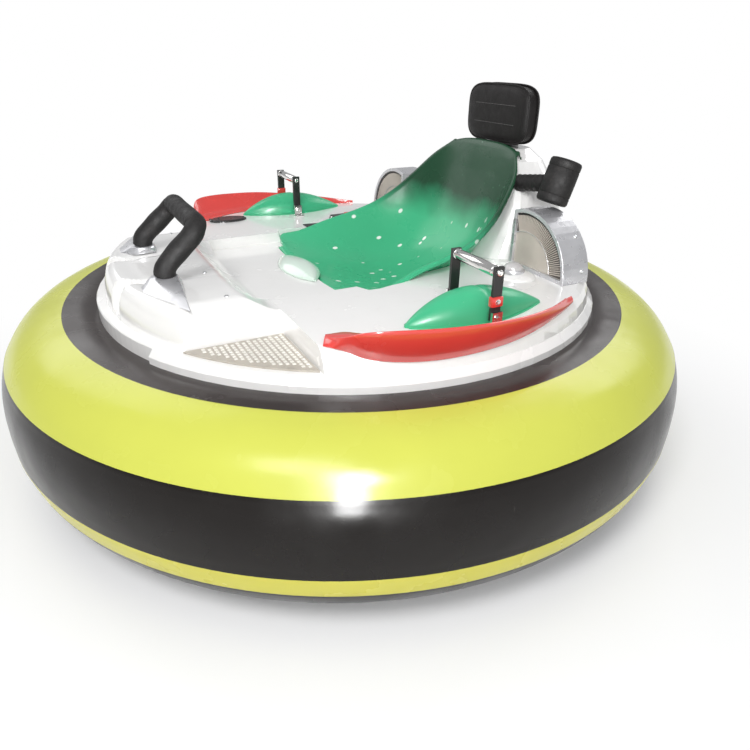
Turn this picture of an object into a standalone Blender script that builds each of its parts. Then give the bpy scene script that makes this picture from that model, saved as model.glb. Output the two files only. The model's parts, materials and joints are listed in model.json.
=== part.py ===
"""Fairground bumper car with an inflated ring bumper, two electric drive wheels and two swivel casters.

Frame: origin on the floor under the centre of the ring, +Z up, the front towards -Y, the rider's left at +X.
Each function below builds one sub-part, and main() at the end builds them all. Lengths are in metres.
"""

import math

import bmesh
import bpy
import numpy as np
from mathutils import Matrix, Vector

# Ring bumper: the tube's section is a superellipse swept round the vertical axis.
TUBE_OUTER_RADIUS = 0.950
TUBE_WIDTH = 0.380
TUBE_HEIGHT = 0.420
TUBE_FLOOR_GAP = 0.030
TUBE_ROUNDNESS = 2.4

# Body moulding, measured from the tube's top.
DECK_RISE = 0.030
DECK_THICKNESS = 0.012
PLATEAU_RISE = 0.055
REAR_DECK_RISE = 0.030
CONSOLE_RISE = 0.085
CONSOLE_HALF_WIDTH = 0.370
CONSOLE_BACK_Y = -0.335
CONSOLE_SETBACK = 0.022
SHOULDER_INSET = 0.028
FRONT_RIM_CUT = 0.013
FRONT_RIM_DEGREES = 27.0
NOTCH_X = 0.100
NOTCH_DEPTH = 0.075

# Seat bucket.
SEAT_THICKNESS = 0.006
SEAT_LIP = 0.014
SEAT_WIDTH_SCALE = 1.0
THIGH_CHANNEL_DROP = 0.032
POMMEL_LENGTH = 0.256
POMMEL_DEPTH = 0.104
POMMEL_HEIGHT = 0.023
POMMEL_Y = -0.150

# Headrest.
HEADREST_SIZE = (0.288, 0.058, 0.165)
HEADREST_FRONT_Y = 0.494
HEADREST_RISE = 0.281
COWL_RISE = 0.275

# Fan housings beside the seat back.
FAN_RADIUS = 0.160
FAN_DEPTH = 0.085
FAN_CENTRE_X = 0.355
FAN_FRONT_Y = 0.360
FAN_INNER_X = 0.301
FAN_LIP = 0.010

# Shoulder roll. Its lower end is placed from the fan housing's centre and front and from the plateau.
ROLL_RADIUS = 0.042
ROLL_LENGTH = 0.112
ROLL_TILT = (0.0, 0.33, 0.94)
ROLL_OUTWARD = 0.013
ROLL_BEHIND_FAN = 0.064
ROLL_RISE = 0.1735
ARM_RADIUS = 0.021
ARM_REACH = 0.144

# Steering levers.
LEVER_PIVOT_RISE = 0.0225
LEVER_TAIL = 0.008
LEVER_Y = 0.040
LEVER_HEIGHT = 0.098
LEVER_CENTRE_X = 0.5710
LEVER_SPAN = 0.155
LEVER_ARM_WIDTH = 0.024
LEVER_ARM_THICKNESS = 0.008
HUMP_LENGTH = 0.370
HUMP_WIDTH = 0.118
HUMP_HEIGHT = 0.065
HUMP_FRONT_Y = -0.135

# Front grab bar.
GRAB_RADIUS = 0.025
GRAB_HALF_SPAN = 0.145
GRAB_SOCKET_RADIUS = 0.033
GRAB_FOOT_Y = -0.545
GRAB_TOP_Y = -0.452
GRAB_RISE = 0.106

# Small fittings on the plateau.
CHARGING_SOCKET_PLACE = (-0.520, -0.205)
BUCKLE_OUTWARD = 0.020
BUCKLE_Y = 0.150
LAMP_OUTWARD = 0.037
LAMP_AHEAD = 0.060

# Running gear.
DRIVE_WHEEL_RADIUS = 0.100
DRIVE_WHEEL_WIDTH = 0.050
DRIVE_TRACK = 0.800
DRIVE_HUB_RADIUS = 0.062
MOTOR_RADIUS = 0.048
AXLE_RADIUS = 0.012
CASTER_Y = 0.400
CASTER_RADIUS = 0.040
CASTER_WIDTH = 0.026
CASTER_TRAIL = 0.026
CHASSIS_BAR = 0.030
CHASSIS_RAIL_X = 0.280
BATTERY_BAR_Y = 0.120
BATTERY_SIZE = (0.172, 0.300, 0.205)

# Clearances.
SEAM = 0.0003
SKIN_GAP = 0.0005
LIP_GAP = 0.0025
PANEL_GAP = 0.0009
PIN_GAP = 0.0005
SIDE_GAP = 0.005
RED_PANEL_THICKNESS = 0.0025
GUARD_CREST = 0.004
GUARD_FOOT_INSET = 0.007

RING_SEGMENTS = 72
SECTION_SEGMENTS = 20

# Levels and radii that follow from the sizes above.
TUBE_MAJOR = TUBE_OUTER_RADIUS - TUBE_WIDTH / 2
TUBE_CENTRE_Z = TUBE_FLOOR_GAP + TUBE_HEIGHT / 2
TUBE_TOP_Z = TUBE_FLOOR_GAP + TUBE_HEIGHT
DECK_Z = TUBE_TOP_Z + DECK_RISE
PLATEAU_Z = DECK_Z + PLATEAU_RISE
REAR_DECK_Z = PLATEAU_Z + REAR_DECK_RISE
CONSOLE_Z = DECK_Z + CONSOLE_RISE
RIM_RADIUS = TUBE_MAJOR - 0.055
BODY_RADIUS = RIM_RADIUS - 0.015
FLAT_RADIUS = BODY_RADIUS - SHOULDER_INSET
COWL_TOP_Z = PLATEAU_Z + COWL_RISE
HEADREST_BOTTOM_Z = PLATEAU_Z + HEADREST_RISE
LEVER_PIVOT_Z = PLATEAU_Z + LEVER_PIVOT_RISE
CHASSIS_Z = DRIVE_WHEEL_RADIUS + 0.050
CHASSIS_TOP_Z = CHASSIS_Z + CHASSIS_BAR
SKIRT_BOTTOM_Z = CHASSIS_Z - 0.035


def clear_scene():
    for obj in list(bpy.data.objects):
        bpy.data.objects.remove(obj)
    for mesh in list(bpy.data.meshes):
        bpy.data.meshes.remove(mesh)


def material(name, colour, roughness, metallic=0.0):
    made = bpy.data.materials.get(name)
    if made is None:
        made = bpy.data.materials.new(name)
        made.use_nodes = True
        shader = made.node_tree.nodes["Principled BSDF"]
        shader.inputs["Base Color"].default_value = (*colour, 1.0)
        shader.inputs["Roughness"].default_value = roughness
        shader.inputs["Metallic"].default_value = metallic
        made.diffuse_color = (*colour, 1.0)
    return made


WHITE = ("white_gelcoat", (0.93, 0.92, 0.90), 0.22)
TUBE_BLACK = ("tube_vinyl", (0.03, 0.03, 0.03), 0.28)
GREEN = ("green_gelcoat", (0.03, 0.36, 0.17), 0.18)
PALE_GREEN = ("pommel_gelcoat", (0.72, 0.86, 0.76), 0.20)
RED = ("red_panel", (0.78, 0.05, 0.04), 0.25)
LEATHER = ("black_vinyl", (0.025, 0.022, 0.023), 0.55)
FOAM = ("black_foam", (0.02, 0.018, 0.02), 0.85)
CHROME = ("chrome", (0.80, 0.80, 0.82), 0.12, 1.0)
BLACK_STEEL = ("black_steel", (0.04, 0.04, 0.04), 0.40, 0.6)
SILVER = ("silver_paint", (0.62, 0.62, 0.64), 0.35, 0.5)
GRILLE = ("grille_grey", (0.36, 0.34, 0.31), 0.45, 0.2)
TREAD = ("tread_plate", (0.72, 0.69, 0.63), 0.40, 0.3)
BLACK_PLASTIC = ("black_plastic", (0.03, 0.03, 0.03), 0.35)
STEEL = ("frame_steel", (0.16, 0.17, 0.18), 0.50, 0.7)
ZINC = ("zinc_plate", (0.60, 0.61, 0.63), 0.35, 0.9)
TYRE = ("tyre_rubber", (0.05, 0.05, 0.05), 0.75)
BATTERY = ("battery_case", (0.05, 0.06, 0.08), 0.45)
MOTOR = ("motor_paint", (0.20, 0.21, 0.22), 0.45, 0.4)
LAMP = ("lamp_lens", (0.55, 0.55, 0.54), 0.15)


def add(name, bm, finish, smooth_degrees=32.0):
    """Links the mesh in bm as an object of that name, with outward faces and its own material."""
    bmesh.ops.recalc_face_normals(bm, faces=bm.faces)
    mesh = bpy.data.meshes.new(name)
    bm.to_mesh(mesh)
    bm.free()
    mesh.shade_smooth()
    mesh.set_sharp_from_angle(angle=math.radians(smooth_degrees))
    mesh.materials.append(material(*finish))
    obj = bpy.data.objects.new(name, mesh)
    bpy.context.scene.collection.objects.link(obj)
    return obj


def as_cutter(obj):
    obj.hide_render = True
    obj.display_type = "WIRE"
    return obj


def boolean(obj, other, operation="DIFFERENCE"):
    modifier = obj.modifiers.new(f"{operation.lower()}_{other.name}", "BOOLEAN")
    modifier.object = other
    modifier.operation = operation
    as_cutter(other)


def bevel(obj, width, segments=2, degrees=40.0):
    modifier = obj.modifiers.new("bevel", "BEVEL")
    modifier.width = width
    modifier.segments = segments
    modifier.limit_method = "ANGLE"
    modifier.angle_limit = math.radians(degrees)
    modifier.use_clamp_overlap = True


def skin_rings(rings, caps=True):
    """A bmesh whose walls join successive closed rings of points, with a face over each end."""
    bm = bmesh.new()
    rows = [[bm.verts.new(point) for point in ring] for ring in rings]
    count = len(rows[0])
    for lower, upper in zip(rows, rows[1:]):
        for i in range(count):
            j = (i + 1) % count
            bm.faces.new((lower[i], lower[j], upper[j], upper[i]))
    if caps:
        bm.faces.new(list(reversed(rows[0])))
        bm.faces.new(rows[-1])
    return bm


def turned(profile, segments=RING_SEGMENTS, matrix=None):
    """Turns a closed (radius, height) outline round +Z. A point at radius 0 becomes a pole."""
    bm = bmesh.new()
    columns = []
    for k in range(segments):
        angle = 2 * math.pi * k / segments
        direction = Vector((math.cos(angle), math.sin(angle), 0.0))
        columns.append([direction * r + Vector((0, 0, z)) for r, z in profile])
    poles = {}
    for i, (r, z) in enumerate(profile):
        if r == 0.0:
            poles[i] = bm.verts.new((0.0, 0.0, z))
    verts = [
        [poles.get(i) or bm.verts.new(point) for i, point in enumerate(column)]
        for column in columns
    ]
    count = len(profile)
    for k in range(segments):
        here, there = verts[k], verts[(k + 1) % segments]
        for i in range(count):
            j = (i + 1) % count
            corners = []
            for vert in (here[i], here[j], there[j], there[i]):
                if vert not in corners:
                    corners.append(vert)
            if len(corners) > 2:
                bm.faces.new(corners)
    if matrix is not None:
        bmesh.ops.transform(bm, matrix=matrix, verts=bm.verts)
    return bm


def prism(outline, z_low, z_high):
    """Extrudes an (x, y) outline between two levels."""
    return skin_rings([[(x, y, z) for x, y in outline] for z in (z_low, z_high)])


def box(low, high):
    (x0, y0, z0), (x1, y1, z1) = low, high
    return prism([(x0, y0), (x1, y0), (x1, y1), (x0, y1)], z0, z1)


def arc(centre, radius, start, end, steps):
    """Points on an arc, from the start angle to the end angle in degrees."""
    angles = np.radians(np.linspace(start, end, steps + 1))
    return [(centre[0] + radius * math.cos(a), centre[1] + radius * math.sin(a)) for a in angles]


def across(axis, centre):
    """The matrix that turns +Z to the given axis and moves the origin to centre."""
    return Matrix.Translation(centre) @ Vector((0, 0, 1)).rotation_difference(Vector(axis)).to_matrix().to_4x4()


def rod(start, end, radius, segments=16):
    start, end = Vector(start), Vector(end)
    profile = [(0.0, 0.0), (radius, 0.0), (radius, (end - start).length), (0.0, (end - start).length)]
    return turned(profile, segments, across((end - start).normalized(), start))


def smooth_path(knots, count):
    """Points evenly spaced in parameter on a Catmull-Rom curve through the knots."""
    knots = np.array(knots, float)
    padded = np.vstack([2 * knots[0] - knots[1], knots, 2 * knots[-1] - knots[-2]])
    points = []
    for s in np.linspace(0.0, len(knots) - 1, count):
        i = min(int(s), len(knots) - 2)
        t = s - i
        a, b, c, d = padded[i : i + 4]
        points.append(
            0.5 * (2 * b + (c - a) * t + (2 * a - 5 * b + 4 * c - d) * t**2 + (3 * b - a - 3 * c + d) * t**3)
        )
    return np.array(points)


def pipe(path, radius, sides=12):
    """A round bar along a path of points, without twist."""
    path = [Vector(p) for p in path]
    tangents = [
        (path[min(i + 1, len(path) - 1)] - path[max(i - 1, 0)]).normalized() for i in range(len(path))
    ]
    side = tangents[0].orthogonal().normalized()
    rings = []
    for point, tangent in zip(path, tangents):
        side = (side - tangent * side.dot(tangent)).normalized()
        other = tangent.cross(side)
        rings.append(
            [
                point + radius * (math.cos(a) * side + math.sin(a) * other)
                for a in (2 * math.pi * k / sides for k in range(sides))
            ]
        )
    return skin_rings(rings)


def mirrored(points):
    return [(-x, y) for x, y in reversed(points)]


def tube_section(offset=0.0):
    """The tube's (radius, height) outline from its inner equator over the top, anticlockwise seen from -theta."""
    points = []
    for k in range(SECTION_SEGMENTS):
        angle = math.pi - 2 * math.pi * k / SECTION_SEGMENTS
        c, s = math.cos(angle), math.sin(angle)
        power = 2.0 / TUBE_ROUNDNESS
        radial = math.copysign(abs(c) ** power, c) * (TUBE_WIDTH / 2 + offset)
        height = math.copysign(abs(s) ** power, s) * (TUBE_HEIGHT / 2 + offset)
        points.append((TUBE_MAJOR + radial, TUBE_CENTRE_Z + height))
    return points


def tube_top_z(radius, offset=0.0):
    """Height of the faceted tube's inner upper surface, grown by offset, at a radius."""
    quarter = tube_section(offset)[0 : SECTION_SEGMENTS // 4 + 1]
    return float(np.interp(radius, [r for r, _ in quarter], [z for _, z in quarter]))


def shoulder_profile(offset=0.0, flat=0.0):
    """(radius, height) from the plateau's flat top down the outside of the body to the deck."""
    return [
        (FLAT_RADIUS - flat, PLATEAU_Z + offset),
        (FLAT_RADIUS + 0.4 * offset, PLATEAU_Z + offset),
        (FLAT_RADIUS + 0.013 + 0.6 * offset, PLATEAU_Z - 0.20 * PLATEAU_RISE + 0.7 * offset),
        (FLAT_RADIUS + 0.022 + offset, PLATEAU_Z - 0.55 * PLATEAU_RISE + 0.3 * offset),
        (FLAT_RADIUS + 0.027 + offset, DECK_Z + SEAM),
    ]


# ---------------------------------------------------------------- ring bumper and body


def build_tube():
    add("bumper_tube", turned(tube_section()), TUBE_BLACK)


def build_deck(seat_space):
    """The floor, its rim and the skirt that sits in the tube: one moulding, open below."""
    quarter = tube_section(SKIN_GAP)[0 : SECTION_SEGMENTS // 4]
    wall = [(r, z) for r, z in reversed(quarter) if r < RIM_RADIUS]
    inner_radius = wall[-1][0] - DECK_THICKNESS
    profile = [
        (0.0, DECK_Z),
        (BODY_RADIUS, DECK_Z),
        (RIM_RADIUS, TUBE_TOP_Z + 0.012),
        (RIM_RADIUS, tube_top_z(RIM_RADIUS, SKIN_GAP)),
        *wall,
        (wall[-1][0], SKIRT_BOTTOM_Z),
        (inner_radius, SKIRT_BOTTOM_Z),
        (inner_radius, TUBE_CENTRE_Z + 0.12),
        (inner_radius + 0.045, DECK_Z - DECK_THICKNESS),
        (0.0, DECK_Z - DECK_THICKNESS),
    ]
    deck = add("deck_shell", turned(profile), WHITE)
    boolean(deck, seat_space)
    kept = RIM_RADIUS - FRONT_RIM_CUT
    low, high = -90 - FRONT_RIM_DEGREES, -90 + FRONT_RIM_DEGREES
    outline = arc((0, 0), RIM_RADIUS + 0.03, low, high, 24) + arc((0, 0), kept, high, low, 24)
    boolean(deck, add("cut_front_rim", prism(outline, TUBE_CENTRE_Z, DECK_Z + 0.05), WHITE))


def build_plateau(seat_space):
    """The raised centre of the body, which carries the seat, the levers and the side panels."""
    profile = [(0.0, PLATEAU_Z), *shoulder_profile()[1:], (0.0, DECK_Z + SEAM)]
    plateau = add("centre_body", turned(profile), WHITE)
    reach = TUBE_OUTER_RADIUS
    front = add("cut_front", box((-reach, -reach, DECK_Z - 0.1), (reach, CONSOLE_BACK_Y, DECK_Z + 0.3)), WHITE)
    boolean(plateau, front)
    channel_z = PLATEAU_Z - THIGH_CHANNEL_DROP
    half = seat_half_width() - 0.02
    channel = add(
        "cut_channel", box((-half, CONSOLE_BACK_Y - 0.02, channel_z), (half, 0.0, DECK_Z + 0.3)), WHITE
    )
    boolean(plateau, channel)
    boolean(plateau, seat_space)


def build_console():
    """The moulded nose between the rider's feet, with two notches in its front edge."""
    front_radius = BODY_RADIUS - CONSOLE_SETBACK
    half = CONSOLE_HALF_WIDTH
    corner = math.degrees(math.acos(half / front_radius))
    outline = [
        (half, CONSOLE_BACK_Y - SEAM),
        (-half, CONSOLE_BACK_Y - SEAM),
        *arc((0, 0), front_radius, 180 + corner, 360 - corner, 24),
    ]
    console = add("front_console", prism(outline, DECK_Z + SEAM, CONSOLE_Z), WHITE)
    for name, side in (("cut_notch_left", 1), ("cut_notch_right", -1)):
        centre = side * NOTCH_X
        edge_y = -math.sqrt(front_radius**2 - centre**2)
        notch = prism(
            [(centre - 0.030, edge_y - 0.03), (centre + 0.030, edge_y - 0.03), (centre, edge_y + NOTCH_DEPTH)],
            DECK_Z + 0.012,
            CONSOLE_Z + 0.1,
        )
        boolean(console, add(name, notch, WHITE))
    bevel(console, 0.010)


def build_tread_plates():
    """Non-slip foot plates on the deck, on each side of the console."""
    radius = BODY_RADIUS - 0.014
    inner = CONSOLE_HALF_WIDTH + 0.004
    back = CONSOLE_BACK_Y - 0.003
    start = -math.degrees(math.acos(inner / radius))
    end = math.degrees(math.asin(back / radius))
    outline = [(inner, back), *arc((0, 0), radius, start, end, 14)]
    for name, shape in (("left_tread_plate", outline), ("right_tread_plate", mirrored(outline))):
        add(name, prism(shape, DECK_Z + SEAM, DECK_Z + SEAM + 0.004), TREAD)


# Angle from the rider's side in degrees, then the inner edge's distance inside the flat's edge, the crest's
# distance outside it and its rise over the plateau, and where the outer edge ends down the shoulder, from 0 to 1.
GUARD_STATIONS = [
    (-29.5, 0.046, -0.030, 0.000, 0.02),
    (-26.0, 0.062, 0.022, 0.022, 0.22),
    (-22.5, 0.052, 0.056, 0.046, 0.50),
    (-17.0, 0.036, 0.062, 0.050, 0.66),
    (-10.0, 0.030, 0.062, 0.047, 0.72),
    (-2.0, 0.026, 0.058, 0.042, 0.70),
    (7.0, 0.012, 0.044, 0.031, 0.62),
    (17.0, 0.002, 0.026, 0.018, 0.45),
    (27.5, -0.004, 0.008, 0.004, 0.30),
]


def shoulder_point(share, offset):
    """A point (radius, height) down the shoulder, from 0 at the flat's edge to 1 at the deck, grown by offset."""
    curve = np.array(shoulder_profile(offset)[1:])
    steps = np.linspace(0.0, 1.0, len(curve))
    return [float(np.interp(share, steps, curve[:, k])) for k in (0, 1)]


def build_red_guards():
    """Side guards that sit over the shoulders: flat on the body in front, with a crest that leans outwards."""
    floor_z = PLATEAU_Z + PANEL_GAP
    top_z = floor_z + RED_PANEL_THICKNESS
    foot = GUARD_FOOT_INSET
    for name, side in (("left_red_panel", 1), ("right_red_panel", -1)):
        rings = []
        for angle, inset, lean, rise, down in smooth_path(GUARD_STATIONS, 37):
            inner = FLAT_RADIUS - inset
            crest = max(FLAT_RADIUS + lean, inner + 0.012)
            crest_z = top_z + max(0.0, rise)
            first = 1 / 3 if down > 1 / 3 else down / 2
            second = 2 / 3 if down > 2 / 3 else (first + down) / 2
            shares = (0.0, first, second, down)
            below = [shoulder_point(max(0.01 * k, share), PANEL_GAP) for k, share in enumerate(shares)]
            outer_edge = shoulder_point(max(0.02, down), PANEL_GAP + RED_PANEL_THICKNESS)
            heel = min(max(FLAT_RADIUS + foot, inner + 0.004), crest - 0.006)
            section = [
                (inner, floor_z),
                (inner, top_z),
                (heel, top_z + 0.0002),
                (crest - GUARD_CREST, crest_z),
                (crest, crest_z - 0.001),
                outer_edge,
                *reversed(below),
            ]
            a = math.radians(angle)
            rings.append([(side * r * math.cos(a), r * math.sin(a), z) for r, z in section])
        add(name, skin_rings(rings), RED)


# ---------------------------------------------------------------- seat

# Half-width, y and height of the seat's rim, then y and height of its centre line, from the front edge to the top.
# Heights are over the plateau, and below it where negative.
SEAT_STATIONS = [
    (0.225, -0.112, -0.030, -0.114, -0.035),
    (0.310, -0.086, -0.016, -0.084, -0.044),
    (0.303, -0.022, -0.006, -0.022, -0.062),
    (0.290, 0.068, 0.022, 0.075, -0.082),
    (0.284, 0.165, 0.045, 0.175, -0.085),
    (0.276, 0.242, 0.071, 0.266, -0.063),
    (0.260, 0.312, 0.113, 0.340, -0.010),
    (0.238, 0.370, 0.165, 0.394, 0.071),
    (0.204, 0.424, 0.225, 0.438, 0.177),
    (0.150, 0.462, 0.271, 0.472, 0.285),
]


def seat_half_width():
    return SEAT_WIDTH_SCALE * max(station[0] for station in SEAT_STATIONS)


def seat_grid(rows=19, columns=17):
    """Points of the seat's upper surface, a row for each station along it, with a lip all round."""
    stations = smooth_path(SEAT_STATIONS, rows)
    spread = np.linspace(-1.0, 1.0, columns)
    grid = np.zeros((rows + 2, columns + 2, 3))
    for i, (half, rim_y, rim_z, mid_y, mid_z) in enumerate(stations):
        along = i / (rows - 1)
        half = half * SEAT_WIDTH_SCALE
        for j, u in enumerate(spread):
            lift = abs(u) ** 3.0
            x = half * u
            thigh = max(0.0, 1.0 - along / 0.35) ** 1.5
            dip = 0.010 * math.exp(-(((abs(x) - 0.14) / 0.06) ** 2))
            z = PLATEAU_Z + mid_z + (rim_z - mid_z) * lift - dip * thigh
            grid[i + 1, j + 1] = (x, mid_y + (rim_y - mid_y) * lift, z)
    grid[1:-1, 0] = grid[1:-1, 1] + (-SEAT_LIP, 0.0, 0.0)
    grid[1:-1, -1] = grid[1:-1, -2] + (SEAT_LIP, 0.0, 0.0)
    grid[0] = grid[1] + (0.0, -SEAT_LIP, -0.002)
    grid[-1] = grid[-2] + (0.0, SEAT_LIP * 0.9, SEAT_LIP * 0.4)
    return grid


def grid_normals(grid):
    along = np.gradient(grid, axis=0)
    side = np.gradient(grid, axis=1)
    normal = np.cross(side, along)
    return normal / np.linalg.norm(normal, axis=2, keepdims=True)


def slab(upper, lower):
    """A closed solid between two grids of the same size."""
    bm = bmesh.new()
    layers = [[[bm.verts.new(p) for p in row] for row in grid] for grid in (upper, lower)]
    rows, columns = len(upper), len(upper[0])
    for layer, turn in ((layers[0], 1), (layers[1], -1)):
        for i in range(rows - 1):
            for j in range(columns - 1):
                a, b, c, d = layer[i][j], layer[i][j + 1], layer[i + 1][j + 1], layer[i + 1][j]
                halves = ((a, b, c), (a, c, d)) if 2 * j < columns - 1 else ((a, b, d), (b, c, d))
                for triangle in halves:
                    bm.faces.new(triangle[::turn])
    edge = [(0, j) for j in range(columns)] + [(i, columns - 1) for i in range(1, rows)]
    edge += [(rows - 1, j) for j in range(columns - 2, -1, -1)] + [(i, 0) for i in range(rows - 2, 0, -1)]
    for (i, j), (m, n) in zip(edge, edge[1:] + edge[:1]):
        bm.faces.new((layers[0][m][n], layers[0][i][j], layers[1][i][j], layers[1][m][n]))
    return bm


def build_seat():
    """The moulded bucket. Returns the cutter that gives its neighbours their clearance."""
    grid = seat_grid()
    normals = grid_normals(grid)
    add("seat_bucket", slab(grid, grid - normals * SEAT_THICKNESS), GREEN)
    sweep = np.array((0.0, -0.18, 0.42))
    space = grid - normals * (SEAT_THICKNESS + SKIN_GAP)
    rim = space.copy()
    rim[:, 0] += (-LIP_GAP, 0, 0)
    rim[:, -1] += (LIP_GAP, 0, 0)
    rim[0] += (0, -LIP_GAP, 0)
    rim[-1] += (0, LIP_GAP, 0)
    return as_cutter(add("cut_seat_space", slab(rim + sweep, rim), WHITE))


# Share of the cowl's height, then its half-width and its front and back y at that level.
COWL_LEVELS = [
    (0.0, 0.288, 0.300, 0.655),
    (0.2257, 0.286, 0.330, 0.640),
    (0.5047, 0.266, 0.368, 0.616),
    (0.7489, 0.230, 0.400, 0.596),
    (0.9058, 0.182, 0.430, 0.586),
    (0.9721, 0.135, 0.446, 0.580),
    (1.0, 0.120, 0.452, 0.576),
]


def build_rear_cowl(seat_space):
    """The moulding that rises behind the seat, with the rear deck."""
    low_z = PLATEAU_Z + SEAM
    rings = []
    for share, half, front, back in COWL_LEVELS:
        z = low_z + share * (COWL_TOP_Z - low_z)
        ring = []
        for k in range(40):
            a = 2 * math.pi * k / 40
            c, s = math.cos(a), math.sin(a)
            x = half * math.copysign(abs(c) ** 0.55, c)
            y = (front + back) / 2 + (back - front) / 2 * math.copysign(abs(s) ** 0.75, s)
            ring.append((x, y, z))
        rings.append(ring)
    cowl = add("rear_cowl", skin_rings(rings), WHITE)
    profile = [
        (0.0, REAR_DECK_Z),
        (FLAT_RADIUS - 0.020, REAR_DECK_Z),
        (FLAT_RADIUS - 0.004, REAR_DECK_Z - 0.008),
        (FLAT_RADIUS, low_z),
        (0.0, low_z),
    ]
    rear_deck = add("join_rear_deck", turned(profile), WHITE)
    split_y = FAN_FRONT_Y + FAN_DEPTH + SEAM
    reach = TUBE_OUTER_RADIUS
    cut = add("cut_rear_deck", box((-reach, -reach, DECK_Z - 0.1), (reach, split_y, DECK_Z + 0.3)), WHITE)
    boolean(rear_deck, cut)
    boolean(cowl, rear_deck, "UNION")
    boolean(cowl, seat_space)


def build_pommel():
    """The leaf-shaped insert that lies crosswise over the front middle of the seat."""
    rings = []
    base = PLATEAU_Z - THIGH_CHANNEL_DROP + SEAM
    for share in np.linspace(-1.0, 1.0, 13):
        swell = max(0.0, 1 - share**2) ** 0.75
        half = 0.003 + (POMMEL_DEPTH / 2 - 0.003) * swell
        height = 0.003 + (POMMEL_HEIGHT - 0.003) * swell
        x = share * POMMEL_LENGTH / 2
        rings.append(
            [(x, POMMEL_Y + half * math.cos(a), base + height * math.sin(a)) for a in np.linspace(0, math.pi, 11)]
        )
    add("seat_pommel", skin_rings(rings), PALE_GREEN)


def build_headrest():
    sx, sy, sz = HEADREST_SIZE
    low = (-sx / 2, HEADREST_FRONT_Y, HEADREST_BOTTOM_Z)
    high = (sx / 2, HEADREST_FRONT_Y + sy, HEADREST_BOTTOM_Z + sz)
    pad = add("headrest_pad", box(low, high), LEATHER)
    bevel(pad, 0.020, 3)
    back = HEADREST_FRONT_Y + sy + SEAM
    plate = box((-0.045, back, COWL_TOP_Z + SEAM), (0.045, back + 0.012, HEADREST_BOTTOM_Z + 0.6 * sz))
    add("headrest_bracket", plate, BLACK_STEEL)


# ---------------------------------------------------------------- fan housings


def fan_outline(radius, base_z):
    """The (x, z) outline of a fan housing's front: an arc standing on its base, cut off beside the seat."""
    centre_z = PLATEAU_Z
    rise = base_z - centre_z
    end = math.degrees(math.acos((FAN_INNER_X + (FAN_RADIUS - radius) - FAN_CENTRE_X) / radius))
    start = math.degrees(math.asin(rise / radius))
    points = [(x, z) for x, z in arc((FAN_CENTRE_X, centre_z), radius, start, end, 16)]
    return [(FAN_INNER_X + (FAN_RADIUS - radius), base_z), *points]


def along_y(outline, y_front, y_back, side):
    rings = [[(side * x, y, z) for x, z in outline] for y in (y_front, y_back)]
    return skin_rings(rings)


def build_fans():
    for name, side in (("left", 1), ("right", -1)):
        base = PLATEAU_Z + SEAM
        outer = along_y(fan_outline(FAN_RADIUS, base), FAN_FRONT_Y, FAN_FRONT_Y + FAN_DEPTH, side)
        housing = add(f"{name}_fan_housing", outer, SILVER)
        inner = fan_outline(FAN_RADIUS - FAN_LIP, base + FAN_LIP)
        recess = along_y(inner, FAN_FRONT_Y - 0.01, FAN_FRONT_Y + 0.012, side)
        boolean(housing, add(f"cut_{name}_fan_recess", recess, WHITE))
        plate = fan_outline(FAN_RADIUS - FAN_LIP - SEAM, base + FAN_LIP + SEAM)
        grille = along_y(plate, FAN_FRONT_Y + 0.007, FAN_FRONT_Y + 0.012 - SEAM, side)
        add(f"{name}_fan_grille", grille, GRILLE)


# ---------------------------------------------------------------- shoulder roll


def roll_profile(gap=0.0):
    r, length = ROLL_RADIUS + gap, ROLL_LENGTH
    return [(0, -gap), (r - 0.006, -gap), (r, 0.008), (r, length - 0.008), (r - 0.006, length + gap), (0, length + gap)]


def build_shoulder_roll():
    """A padded roll beside the seat back, on the rider's left only, on a short arm let into the cowl."""
    tilt = Vector(ROLL_TILT).normalized()
    low = Vector((FAN_CENTRE_X + ROLL_OUTWARD, FAN_FRONT_Y + ROLL_BEHIND_FAN, PLATEAU_Z + ROLL_RISE))
    place = across(tilt, low)
    add("left_shoulder_roll", turned(roll_profile(), 20, place), FOAM)
    inside = low + Vector((-ARM_REACH, 0.014, 0.026))
    middle = low + tilt * (ROLL_LENGTH / 2 - 0.004)
    arm = add("left_shoulder_arm", rod(inside, middle, ARM_RADIUS), BLACK_STEEL)
    boolean(arm, add("cut_roll_space", turned(roll_profile(SKIN_GAP), 20, place), WHITE))
    outward = (middle - inside).normalized()
    socket = rod(inside - outward * SKIN_GAP, middle, ARM_RADIUS + SKIN_GAP)
    boolean(bpy.data.objects["rear_cowl"], add("cut_arm_socket", socket, WHITE))


# ---------------------------------------------------------------- levers


def lever_covers():
    """Green leaf-shaped covers over the lever mechanism, one on each side."""
    for name, side in (("left", 1), ("right", -1)):
        rings = []
        for s in np.linspace(0.0, 1.0, 13):
            y = HUMP_FRONT_Y + HUMP_LENGTH * s
            swell = math.sin(math.pi * s**0.92) ** 0.9
            half = 0.003 + (HUMP_WIDTH / 2 - 0.003) * swell
            height = 0.003 + (HUMP_HEIGHT - 0.003) * swell
            x = LEVER_CENTRE_X
            base = PLATEAU_Z + SEAM
            ring = []
            for a in np.linspace(0.0, math.pi, 11):
                ring.append((side * (x + half * math.cos(a)), y, base + height * math.sin(a) ** 0.8))
            rings.append(ring)
        add(f"{name}_lever_cover", skin_rings(rings), GREEN)


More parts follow.
